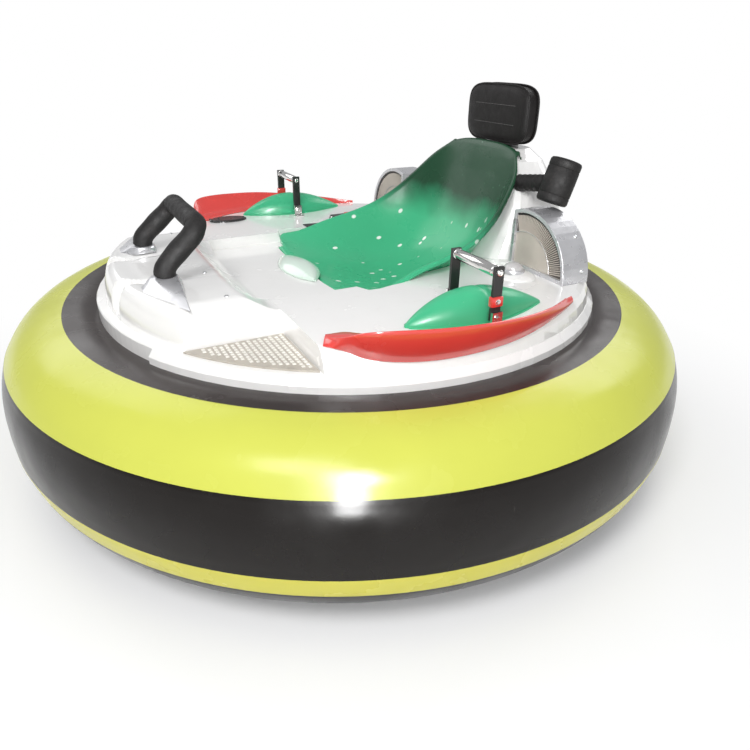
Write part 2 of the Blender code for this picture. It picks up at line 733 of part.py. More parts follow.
def build_levers():
    """Each lever is a U-shaped frame that straddles its cover, with a sleeve on its top bar."""
    half = LEVER_SPAN / 2
    arm = LEVER_ARM_THICKNESS
    for name, side in (("left", 1), ("right", -1)):
        pivot = Vector((side * LEVER_CENTRE_X, LEVER_Y, LEVER_PIVOT_Z))
        top = LEVER_HEIGHT
        outline = [
            (-half - arm / 2, -LEVER_TAIL),
            (-half + arm / 2, -LEVER_TAIL),
            (-half + arm / 2, top - 0.006),
            (half - arm / 2, top - 0.006),
            (half - arm / 2, -LEVER_TAIL),
            (half + arm / 2, -LEVER_TAIL),
            (half + arm / 2, top + 0.012),
            (half - arm / 2, top + 0.012),
            (half - arm / 2, top + 0.006),
            (-half + arm / 2, top + 0.006),
            (-half + arm / 2, top + 0.012),
            (-half - arm / 2, top + 0.012),
        ]
        bm = bmesh.new()
        front = [bm.verts.new((side * x, -LEVER_ARM_WIDTH / 2, z)) for x, z in outline]
        face = bm.faces.new(front)
        made = bmesh.ops.extrude_face_region(bm, geom=[face])
        moved = [v for v in made["geom"] if isinstance(v, bmesh.types.BMVert)]
        bmesh.ops.translate(bm, verts=moved, vec=(0, LEVER_ARM_WIDTH, 0))
        frame = add(f"{name}_lever_frame", bm, BLACK_STEEL)
        frame.location = pivot
        slim = 0.006
        for end, y0, y1 in (("front", -0.1, -slim), ("back", slim, 0.1)):
            cut = box(
                (-half + arm / 2, y0, top - 0.02),
                (half - arm / 2, y1, top + 0.03),
            )
            cutter = add(f"cut_{name}_{end}_bar", cut, WHITE)
            cutter.location = pivot
            boolean(frame, cutter)
        hole = rod((-0.2, 0, 0), (0.2, 0, 0), 0.0045 + PIN_GAP)
        cutter = add(f"cut_{name}_lever_pin", hole, WHITE)
        cutter.location = pivot
        boolean(frame, cutter)
        inner_x = half - arm / 2 - SEAM
        sleeve = turned(
            [(0.0088, -inner_x), (0.0125, -inner_x), (0.0125, inner_x), (0.0088, inner_x)],
            20,
            across((1, 0, 0), pivot + Vector((0, 0, top))),
        )
        add(f"{name}_lever_grip", sleeve, CHROME)


def build_lever_brackets():
    """A foot beside each lever arm, whose pin carries the arm."""
    half = LEVER_SPAN / 2
    arm = LEVER_ARM_THICKNESS
    panel_top = PLATEAU_Z + PANEL_GAP + RED_PANEL_THICKNESS
    for name, side in (("left", 1), ("right", -1)):
        for place, direction, base in (("outer", 1, panel_top + SEAM), ("inner", -1, PLATEAU_Z + SEAM)):
            face = LEVER_CENTRE_X + direction * (half + arm / 2 + PIN_GAP)
            thick = 0.007 * direction
            x0, x1 = sorted((face, face + thick))
            upright = box(
                (x0, LEVER_Y - 0.013, base),
                (x1, LEVER_Y + 0.013, LEVER_PIVOT_Z + 0.013),
            )
            if side < 0:
                bmesh.ops.scale(upright, vec=(-1, 1, 1), verts=upright.verts)
            bracket = add(f"{name}_{place}_lever_bracket", upright, CHROME)
            inside = face - direction * (arm + PIN_GAP)
            pin = rod(
                (side * inside, LEVER_Y, LEVER_PIVOT_Z),
                (side * (face + thick * 0.5), LEVER_Y, LEVER_PIVOT_Z),
                0.0045,
            )
            boolean(bracket, add(f"join_{name}_{place}_pin", pin, CHROME), "UNION")


# ---------------------------------------------------------------- grab bar and small fittings


# One leg of the hoop from its foot to the middle of the top bar: shares of the half-span, the rise and the lean.
GRAB_KNOTS = [
    (1.03, 0.0, 0.0),
    (1.03, 0.22, 0.08),
    (1.0, 0.50, 0.42),
    (0.98, 0.78, 0.80),
    (0.90, 0.95, 0.97),
    (0.70, 1.0, 1.0),
    (0.0, 1.0, 1.0),
]


def build_grab_bar():
    """A foam-covered hoop in front of the rider, in two sockets on the console."""
    foot_z = CONSOLE_Z + 0.013
    left_half = GRAB_KNOTS[:-1]
    right_half = [(-x, lift, back) for x, lift, back in reversed(left_half)]
    knots = [
        (GRAB_HALF_SPAN * x, GRAB_FOOT_Y + (GRAB_TOP_Y - GRAB_FOOT_Y) * back, foot_z + GRAB_RISE * lift)
        for x, lift, back in left_half + GRAB_KNOTS[-1:] + right_half
    ]
    bm = pipe(smooth_path(knots, 41), GRAB_RADIUS)
    lowest = min(vert.co.z for vert in bm.verts)
    bmesh.ops.translate(bm, verts=bm.verts, vec=(0, 0, foot_z + SEAM - lowest))
    add("grab_bar", bm, FOAM)
    for name, side in (("left", 1), ("right", -1)):
        wide = GRAB_SOCKET_RADIUS
        collar = turned(
            [(0, 0), (wide, 0), (wide, 0.007), (wide - 0.005, 0.0127), (0, 0.0127)],
            20,
            Matrix.Translation((side * GRAB_HALF_SPAN * GRAB_KNOTS[0][0], GRAB_FOOT_Y, CONSOLE_Z + SEAM)),
        )
        add(f"{name}_grab_bar_socket", collar, SILVER)


def build_fittings():
    x, y = CHARGING_SOCKET_PLACE
    rings = []
    for k, z in ((1.0, PLATEAU_Z + SEAM), (1.0, PLATEAU_Z + 0.004), (0.90, PLATEAU_Z + 0.007)):
        rings.append([(x + 0.035 * k * math.cos(a), y + 0.064 * k * math.sin(a), z) for a in loop(20)])
    add("charging_socket", skin_rings(rings), BLACK_PLASTIC)
    buckle = add("belt_buckle", box((-0.025, -0.048, 0.0), (0.025, 0.048, 0.026)), BLACK_PLASTIC)
    buckle.location = (-(seat_half_width() + BUCKLE_OUTWARD), BUCKLE_Y, PLATEAU_Z + SEAM)
    bevel(buckle, 0.006)
    for name, side in (("left", 1), ("right", -1)):
        dome = turned(
            [(0, 0), (0.026, 0), (0.026, 0.010), (0.023, 0.024), (0.015, 0.033), (0.006, 0.0365), (0, 0.037)],
            20,
            Matrix.Translation((side * (FAN_CENTRE_X + LAMP_OUTWARD), FAN_FRONT_Y - LAMP_AHEAD, PLATEAU_Z + SEAM)),
        )
        add(f"{name}_marker_lamp", dome, LAMP)


def loop(count):
    return [2 * math.pi * k / count for k in range(count)]


# ---------------------------------------------------------------- chassis and running gear


def build_chassis():
    """A ring fixed inside the skirt, two rails across it, and four cross bars between the rails."""
    outer = tube_section(SKIN_GAP)[0][0] - DECK_THICKNESS - SEAM
    z0, z1 = CHASSIS_Z, CHASSIS_TOP_Z
    ring_section = [(outer, z1), (outer, z0), (outer - CHASSIS_BAR, z0), (outer - CHASSIS_BAR, z1)]
    add("chassis_ring", turned(ring_section), STEEL)
    keep = outer - CHASSIS_BAR - SEAM
    inside = add("keep_inside_ring", turned([(0, z0 - 0.1), (keep, z0 - 0.1), (keep, z1 + 0.1), (0, z1 + 0.1)]), STEEL)
    for name, side in (("left", 1), ("right", -1)):
        x = side * CHASSIS_RAIL_X
        rail = box((x - CHASSIS_BAR / 2, -outer, z0), (x + CHASSIS_BAR / 2, outer, z1))
        boolean(add(f"{name}_chassis_rail", rail, STEEL), inside, "INTERSECT")
    half = CHASSIS_RAIL_X - CHASSIS_BAR / 2 - SEAM
    for name, y in (
        ("front_caster_bar", -CASTER_Y),
        ("front_battery_bar", -BATTERY_BAR_Y),
        ("rear_battery_bar", BATTERY_BAR_Y),
        ("rear_caster_bar", CASTER_Y),
    ):
        add(name, box((-half, y - CHASSIS_BAR / 2, z0), (half, y + CHASSIS_BAR / 2, z1)), STEEL)


def build_batteries():
    sx, sy, sz = BATTERY_SIZE
    tray_low = CHASSIS_TOP_Z + SEAM
    tray = box((-sx - 0.02, -sy / 2 - 0.01, tray_low), (sx + 0.02, sy / 2 + 0.01, tray_low + 0.004))
    add("battery_tray", tray, STEEL)
    z = tray_low + 0.004 + SEAM
    for name, side in (("left", 1), ("right", -1)):
        x0, x1 = sorted((side * 0.004, side * (sx + 0.004)))
        add(f"{name}_battery", box((x0, -sy / 2, z), (x1, sy / 2, z + sz)), BATTERY)


def build_drives():
    """Gear motors under the rails, whose shafts carry the drive wheels."""
    half = DRIVE_WHEEL_WIDTH / 2
    for name, side in (("left", 1), ("right", -1)):
        centre = side * DRIVE_TRACK / 2
        axis = across((side, 0, 0), (0, 0, DRIVE_WHEEL_RADIUS))
        inner = DRIVE_TRACK / 2 - half - 0.012
        shaft_end = DRIVE_TRACK / 2 + 0.012
        start = inner - 0.160
        drive = turned(
            [
                (0, start),
                (MOTOR_RADIUS - 0.006, start),
                (MOTOR_RADIUS, start + 0.006),
                (MOTOR_RADIUS, inner - 0.030),
                (MOTOR_RADIUS - 0.012, inner - 0.024),
                (MOTOR_RADIUS - 0.012, inner),
                (AXLE_RADIUS, inner),
                (AXLE_RADIUS, shaft_end),
                (0, shaft_end),
            ],
            28,
            axis,
        )
        motor = add(f"{name}_drive_motor", drive, MOTOR)
        saddle_x = sorted((side * (CHASSIS_RAIL_X - 0.04), side * (CHASSIS_RAIL_X + 0.015)))
        saddle = box((saddle_x[0], -0.030, DRIVE_WHEEL_RADIUS + 0.020), (saddle_x[1], 0.030, CHASSIS_Z - SEAM))
        boolean(motor, add(f"join_{name}_saddle", saddle, MOTOR), "UNION")
        bore = AXLE_RADIUS + PIN_GAP
        floor = DRIVE_TRACK / 2 + 0.012 + PIN_GAP
        hub = turned(
            [
                (bore, DRIVE_TRACK / 2 - half - 0.004),
                (0.024, DRIVE_TRACK / 2 - half - 0.004),
                (0.030, DRIVE_TRACK / 2 - 0.008),
                (DRIVE_HUB_RADIUS - 0.008, DRIVE_TRACK / 2 - 0.008),
                (DRIVE_HUB_RADIUS - 0.004, DRIVE_TRACK / 2 - half + 0.002),
                (DRIVE_HUB_RADIUS, DRIVE_TRACK / 2 - half + 0.002),
                (DRIVE_HUB_RADIUS, DRIVE_TRACK / 2 + half - 0.002),
                (DRIVE_HUB_RADIUS - 0.004, DRIVE_TRACK / 2 + half - 0.002),
                (DRIVE_HUB_RADIUS - 0.008, DRIVE_TRACK / 2 + 0.008),
                (0.030, DRIVE_TRACK / 2 + 0.008),
                (0.024, floor + 0.006),
                (0, floor + 0.006),
                (0, floor),
                (bore, floor),
            ],
            24,
            axis,
        )
        add(f"{name}_drive_hub", hub, ZINC)
        tyre = turned(
            [
                (DRIVE_HUB_RADIUS + SEAM, DRIVE_TRACK / 2 - half),
                (DRIVE_WHEEL_RADIUS - 0.010, DRIVE_TRACK / 2 - half),
                (DRIVE_WHEEL_RADIUS - 0.002, DRIVE_TRACK / 2 - half + 0.007),
                (DRIVE_WHEEL_RADIUS, DRIVE_TRACK / 2 - half + 0.014),
                (DRIVE_WHEEL_RADIUS, DRIVE_TRACK / 2 + half - 0.014),
                (DRIVE_WHEEL_RADIUS - 0.002, DRIVE_TRACK / 2 + half - 0.007),
                (DRIVE_WHEEL_RADIUS - 0.010, DRIVE_TRACK / 2 + half),
                (DRIVE_HUB_RADIUS + SEAM, DRIVE_TRACK / 2 + half),
            ],
            36,
            axis,
        )
        add(f"{name}_drive_tyre", tyre, TYRE)


def build_casters():
    """Swivel casters under the frame's middle, front and rear, with the wheels trailing backwards."""
    plate_low = CHASSIS_Z - SEAM - 0.006
    head_top = plate_low - PIN_GAP
    head_low = head_top - 0.012
    leg_in = CASTER_WIDTH / 2 + SIDE_GAP
    leg_out = leg_in + 0.004
    for name, y in (("front", -CASTER_Y), ("rear", CASTER_Y)):
        wheel_y = y + CASTER_TRAIL
        plate = box((-0.045, y - 0.045, plate_low), (0.045, y + 0.045, plate_low + 0.006))
        mount = add(f"{name}_caster_plate", plate, ZINC)
        boolean(mount, add(f"join_{name}_kingpin", rod((0, y, head_low), (0, y, plate_low + 0.003), 0.007), ZINC), "UNION")
        head = add(f"{name}_caster_fork", rod((0, y, head_low), (0, y, head_top), 0.034, 20), ZINC)
        hole = rod((0, y, head_low - 0.05), (0, y, head_top + 0.05), 0.007 + PIN_GAP)
        axle_z = CASTER_RADIUS
        for place, direction in (("a", 1), ("b", -1)):
            x0, x1 = sorted((direction * leg_in, direction * leg_out))
            outline = [
                (y - 0.014, head_low + 0.004),
                (wheel_y - 0.011, axle_z),
                (wheel_y - 0.006, axle_z - 0.011),
                (wheel_y + 0.006, axle_z - 0.011),
                (wheel_y + 0.011, axle_z),
                (y + 0.028, head_low + 0.004),
            ]
            leg = skin_rings([[(x, yy, zz) for yy, zz in outline] for x in (x0, x1)])
            boolean(head, add(f"join_{name}_leg_{place}", leg, ZINC), "UNION")
        pin = rod((-leg_out, wheel_y, axle_z), (leg_out, wheel_y, axle_z), 0.004)
        boolean(head, add(f"join_{name}_caster_axle", pin, ZINC), "UNION")
        boolean(head, add(f"cut_{name}_caster_bore", hole, ZINC))
        half = CASTER_WIDTH / 2
        wheel = turned(
            [
                (0.004 + PIN_GAP, -half - 0.003),
                (0.010, -half - 0.003),
                (0.012, -half),
                (CASTER_RADIUS - 0.004, -half),
                (CASTER_RADIUS, -half + 0.005),
                (CASTER_RADIUS, half - 0.005),
                (CASTER_RADIUS - 0.004, half),
                (0.012, half),
                (0.010, half + 0.003),
                (0.004 + PIN_GAP, half + 0.003),
            ],
            24,
            across((1, 0, 0), (0, wheel_y, axle_z)),
        )
        add(f"{name}_caster_wheel", wheel, TYRE)


def main():
    clear_scene()
    seat_space = build_seat()
    build_tube()
    build_deck(seat_space)
    build_plateau(seat_space)
    build_console()
    build_tread_plates()
    build_red_guards()
    build_rear_cowl(seat_space)
    build_pommel()
    build_headrest()
    build_fans()
    build_shoulder_roll()
    lever_covers()
    build_levers()
    build_lever_brackets()
    build_grab_bar()
    build_fittings()
    build_chassis()
    build_batteries()
    build_drives()
    build_casters()


main()
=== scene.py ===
"""Looks of the ring bumper car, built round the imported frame. Lengths are in metres, in the frame's own axes."""

import json
import math

import bmesh
import bpy
import numpy as np
from mathutils import Matrix, Vector


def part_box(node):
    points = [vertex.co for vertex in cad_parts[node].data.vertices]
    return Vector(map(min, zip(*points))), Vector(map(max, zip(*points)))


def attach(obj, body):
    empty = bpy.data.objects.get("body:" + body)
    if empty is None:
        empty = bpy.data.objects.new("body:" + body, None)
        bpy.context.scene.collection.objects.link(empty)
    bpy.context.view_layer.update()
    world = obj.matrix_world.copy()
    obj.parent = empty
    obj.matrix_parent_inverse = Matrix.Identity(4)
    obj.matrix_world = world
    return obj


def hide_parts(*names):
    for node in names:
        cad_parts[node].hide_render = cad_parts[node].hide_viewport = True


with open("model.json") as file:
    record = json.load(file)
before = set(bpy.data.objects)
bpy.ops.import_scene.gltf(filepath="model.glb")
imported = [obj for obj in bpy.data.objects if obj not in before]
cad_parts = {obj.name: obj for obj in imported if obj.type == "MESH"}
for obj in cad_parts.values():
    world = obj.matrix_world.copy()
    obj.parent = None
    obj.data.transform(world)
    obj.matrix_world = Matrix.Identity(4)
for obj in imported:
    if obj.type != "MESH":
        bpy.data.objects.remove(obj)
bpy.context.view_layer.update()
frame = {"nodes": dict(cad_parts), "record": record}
NODES = frame["nodes"]
SIDES = (("left", 1), ("right", -1))

# Places and sizes read from the frame. The console is an arc of the deck's edge.
TUBE_LOW, TUBE_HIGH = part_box("bumper_tube")
CONSOLE_LOW, CONSOLE_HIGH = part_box("front_console")
REST_LOW, REST_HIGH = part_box("headrest_pad")
RIM_RADIUS, _, DECK_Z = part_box("deck_shell")[1]
PLATEAU_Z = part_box("centre_body")[1].z
CONSOLE_Z = CONSOLE_HIGH.z
CONSOLE_HALF = CONSOLE_HIGH.x
CONSOLE_RADIUS = -CONSOLE_LOW.y

# Ring bumper: the section is a superellipse, and its stripes are bounded by angles round it.
TUBE_HALF_WIDTH = 0.190
TUBE_HALF_HEIGHT = (TUBE_HIGH.z - TUBE_LOW.z) / 2
TUBE_MAJOR = TUBE_HIGH.x - TUBE_HALF_WIDTH
TUBE_CENTRE_Z = (TUBE_HIGH.z + TUBE_LOW.z) / 2
TUBE_POWER = 2.0 / 2.4
STRIPE_DEGREES = (-31.2, -16.3, 34.4, 83.0)
BEAD_HEIGHT, BEAD_DEGREES = 0.0016, 1.3
VALVE_DEGREES = 96.0
FLANGE_Z = 0.4395

# Two notches in the console's front edge, with a dark block of painted shade in each.
NOTCH_X, NOTCH_DEPTH = 0.100, 0.075

# Grab bar: share of the half span, share of the height and share of the way back, from the left foot to the middle.
GRAB_RADIUS = 0.025
GRAB_KNOTS = [
    (1.03, 0.0, 0.0),
    (1.03, 0.22, 0.08),
    (1.0, 0.50, 0.42),
    (0.98, 0.78, 0.80),
    (0.90, 0.95, 0.97),
    (0.70, 1.0, 1.0),
    (0.0, 1.0, 1.0),
]

# Seat shell: half-width, y and z of the rim, then y and z of the centre line, from the front to the top.
SEAT_STATIONS = [
    (0.225, -0.112, 0.505, -0.114, 0.500),
    (0.310, -0.086, 0.519, -0.084, 0.491),
    (0.303, -0.022, 0.529, -0.022, 0.473),
    (0.290, 0.068, 0.557, 0.075, 0.453),
    (0.284, 0.165, 0.580, 0.175, 0.450),
    (0.276, 0.242, 0.606, 0.266, 0.472),
    (0.260, 0.312, 0.648, 0.340, 0.525),
    (0.238, 0.370, 0.700, 0.394, 0.606),
    (0.204, 0.424, 0.760, 0.438, 0.712),
    (0.150, 0.462, 0.806, 0.472, 0.820),
]
SEAT_LIP = [(0.004, 0.0012), (0.009, 0.0008), (0.0125, -0.0015), (0.014, -0.006), (0.0138, -0.011)]

# Red guards: angle from the rider's side in degrees, then the inner edge's distance inside the flat's edge, the
# crest's distance outside it and its rise, and where the outer edge ends down the shoulder, from 0 to 1.
GUARD_STATIONS = [
    (-29.5, 0.046, -0.030, 0.000, 0.02),
    (-26.0, 0.062, 0.022, 0.022, 0.22),
    (-22.5, 0.052, 0.056, 0.046, 0.50),
    (-17.0, 0.036, 0.062, 0.050, 0.66),
    (-10.0, 0.030, 0.062, 0.047, 0.72),
    (-2.0, 0.026, 0.058, 0.042, 0.70),
    (7.0, 0.012, 0.044, 0.031, 0.62),
    (17.0, 0.002, 0.026, 0.018, 0.45),
    (27.5, -0.004, 0.008, 0.004, 0.30),
]
FLAT_RADIUS = 0.662
SHOULDER = [(0.0006, 0.0009), (0.0135, -0.0104), (0.0229, -0.0300), (0.0279, -0.0547)]

# Headrest: depth as a share of the half depth, and how far the outline shrinks there, from front to back.
REST_LEVELS = [
    (-1.0, 0.060),
    (-0.985, 0.044),
    (-0.94, 0.024),
    (-0.86, 0.011),
    (-0.74, 0.004),
    (-0.62, 0.0),
    (-0.56, 0.0025),
    (-0.50, 0.0005),
    (-0.2, 0.001),
    (0.2, 0.001),
    (0.50, 0.0005),
    (0.56, 0.0025),
    (0.62, 0.0),
    (0.76, 0.004),
    (0.88, 0.012),
    (0.95, 0.026),
    (0.97, 0.046),
]
SEAM_RISE = 0.026

# Fans: half discs that stand on the plateau.
FAN_X, FAN_RADIUS = 0.355, 0.160
FINS, FIN_RADII = 54, (0.100, 0.1430)
HUMP_X, HUMP_Y = 0.392, 0.307

# Bevels on the sharp CAD pieces that stay in view.
SOFTENED = {
    0.001: ("left_tread_plate", "right_tread_plate", "battery_tray"),
    0.0012: ("left_lever_frame", "right_lever_frame"),
    0.0015: ("headrest_bracket",),
    0.002: (
        "chassis_ring",
        "left_chassis_rail",
        "right_chassis_rail",
        "front_caster_bar",
        "rear_caster_bar",
        "front_battery_bar",
        "rear_battery_bar",
    ),
    0.003: ("left_battery", "right_battery"),
    0.004: ("left_fan_housing", "right_fan_housing", "centre_body"),
}

BLACK, WHITE = (0, 0, 0), (1, 1, 1)


# ---------------------------------------------------------------- mesh helpers


def circle(count, start=0.0):
    """Angles round a full turn, from start steps on."""
    return [2 * math.pi * (k + start) / count for k in range(count)]


def flipped(outline, total=0.0):
    """The other half of an outline of (radius, height) that is even about half of total."""
    return [(r, total - z) for r, z in reversed(outline)]


def smooth_step(x, low, high):
    t = min(1.0, max(0.0, (x - low) / (high - low)))
    return t * t * (3 - 2 * t)


def bump(x, width):
    return math.exp(-((x / width) ** 2))


def smooth_path(knots, count):
    """Points on a Catmull-Rom curve through the knots."""
    knots = np.array(knots, float)
    padded = np.vstack([2 * knots[0] - knots[1], knots, 2 * knots[-1] - knots[-2]])
    points = []
    for s in np.linspace(0.0, len(knots) - 1, count):
        i = min(int(s), len(knots) - 2)
        t = s - i
        a, b, c, d = padded[i : i + 4]
        bend = (2 * a - 5 * b + 4 * c - d) * t**2 + (3 * b - a - 3 * c + d) * t**3
        points.append(0.5 * (2 * b + (c - a) * t + bend))
    return np.array(points)


def link_mesh(name, bm, degrees=40.0):
    """An object of the mesh, shaded smooth up to the angle."""
    bmesh.ops.recalc_face_normals(bm, faces=bm.faces)
    mesh = bpy.data.meshes.new(name)
    bm.to_mesh(mesh)
    bm.free()
    mesh.shade_smooth()
    mesh.set_sharp_from_angle(angle=math.radians(degrees))
    obj = bpy.data.objects.new(name, mesh)
    bpy.context.scene.collection.objects.link(obj)
    return obj


def add_piece(name, bm, slot, *replaced, body="root", degrees=40.0, material=None):
    """Makes a piece with its material, which is the record slot's unless another is given, puts it on its body and
    hides the CAD nodes that it stands for.
    """
    obj = link_mesh(name, bm, degrees)
    obj.data.materials.append(material or MATERIALS[slot])
    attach(obj, body)
    if replaced:
        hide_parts(*replaced)
    return obj


def add_grid(bm, grid, close_rows=False, close_columns=False):
    """Faces over a grid of points. Returns the rows of vertices."""
    rows = [[bm.verts.new(point) for point in row] for row in grid]
    columns = len(rows[0])
    for i in range(len(rows) if close_rows else len(rows) - 1):
        upper, lower = rows[i], rows[(i + 1) % len(rows)]
        for j in range(columns if close_columns else columns - 1):
            k = (j + 1) % columns
            bm.faces.new((upper[j], upper[k], lower[k], lower[j]))
    return rows


def add_skin(bm, rings):
    """A closed skin through rings of points, with a flat face at each end."""
    rows = add_grid(bm, rings, False, True)
    bm.faces.new(rows[0])
    bm.faces.new(list(reversed(rows[-1])))


def add_lathe(bm, profile, segments=48, matrix=None):
    """Turns a closed outline of (radius, height) round +Z, then moves it by the matrix. Radius 0 becomes a pole."""
    matrix = matrix or Matrix.Identity(4)
    poles = {i: bm.verts.new(matrix @ Vector((0, 0, z))) for i, (r, z) in enumerate(profile) if r == 0.0}
    columns = []
    for a in circle(segments):
        column = []
        for i, (r, z) in enumerate(profile):
            point = Vector((r * math.cos(a), r * math.sin(a), z))
            column.append(poles.get(i) or bm.verts.new(matrix @ point))
        columns.append(column)
    for k, here in enumerate(columns):
        there = columns[(k + 1) % segments]
        for i in range(len(profile)):
            j = (i + 1) % len(profile)
            corners = list(dict.fromkeys((here[i], here[j], there[j], there[i])))
            if len(corners) > 2:
                bm.faces.new(corners)


def add_pipe(bm, path, radius, sides=16):
    """A round bar along a path, with flat ends. radius may be one number or one for each point."""
    path = [Vector(p) for p in path]
    radii = [radius] * len(path) if isinstance(radius, float) else radius
    tangents = [(path[min(i + 1, len(path) - 1)] - path[max(i - 1, 0)]).normalized() for i in range(len(path))]
    side = tangents[0].orthogonal().normalized()
    rings = []
    for point, tangent, size in zip(path, tangents, radii):
        side = (side - tangent * side.dot(tangent)).normalized()
        other = tangent.cross(side)
        rings.append([point + size * (math.cos(a) * side + math.sin(a) * other) for a in circle(sides)])
    add_skin(bm, rings)


def add_box(bm, low, high, edge=0.002, segments=2):
    """A box with rounded edges."""
    low, high = Vector(low), Vector(high)
    verts = bmesh.ops.create_cube(bm, size=1.0)["verts"]
    size = high - low
    place = Matrix.Translation((low + high) / 2) @ Matrix.Diagonal((*size, 1.0))
    bmesh.ops.transform(bm, matrix=place, verts=verts)
    edges = list({e for v in verts for e in v.link_edges})
    offset = min(edge, 0.45 * min(size))
    bmesh.ops.bevel(bm, geom=edges, offset=offset, segments=segments, profile=0.5, affect="EDGES")


def across(axis, centre):
    """The matrix that turns +Z to the axis and moves the origin to centre."""
    turn = Vector((0, 0, 1)).rotation_difference(Vector(axis)).to_matrix().to_4x4()
    return Matrix.Translation(centre) @ turn


def add_bolt(bm, centre, axis, radius=0.006, height=0.004):
    """A hexagon head on a washer, standing on centre along axis."""
    washer = 0.001
    place = across(axis, centre)
    add_lathe(bm, [(0, 0), (radius * 1.5, 0), (radius * 1.5, washer), (0, washer)], 20, place)
    head = [(0, 0), (radius, 0), (radius, height * 0.8), (radius * 0.85, height), (0, height)]
    add_lathe(bm, head, 6, place @ Matrix.Translation((0, 0, washer)))


def add_screw(bm, centre, axis, radius=0.006):
    """A domed screw head with a socket."""
    r = radius
    outline = [(0, 0), (r, 0), (r, 0.3 * r), (0.8 * r, 0.55 * r), (0.5 * r, 0.65 * r), (0.42 * r, 0.62 * r)]
    outline += [(0.40 * r, 0.25 * r), (0, 0.25 * r)]
    add_lathe(bm, outline, 18, across(axis, centre))


def add_bevel(obj, width, segments, degrees):
    bevel = obj.modifiers.new("bevel", "BEVEL")
    bevel.width = width
    bevel.segments = segments
    bevel.limit_method = "ANGLE"
    bevel.angle_limit = math.radians(degrees)


def thicken(obj, thickness):
    """Gives an open sheet its thickness, on the underside."""
    thick = obj.modifiers.new("thickness", "SOLIDIFY")
    thick.thickness = thickness
    thick.offset = -1.0


# ---------------------------------------------------------------- materials


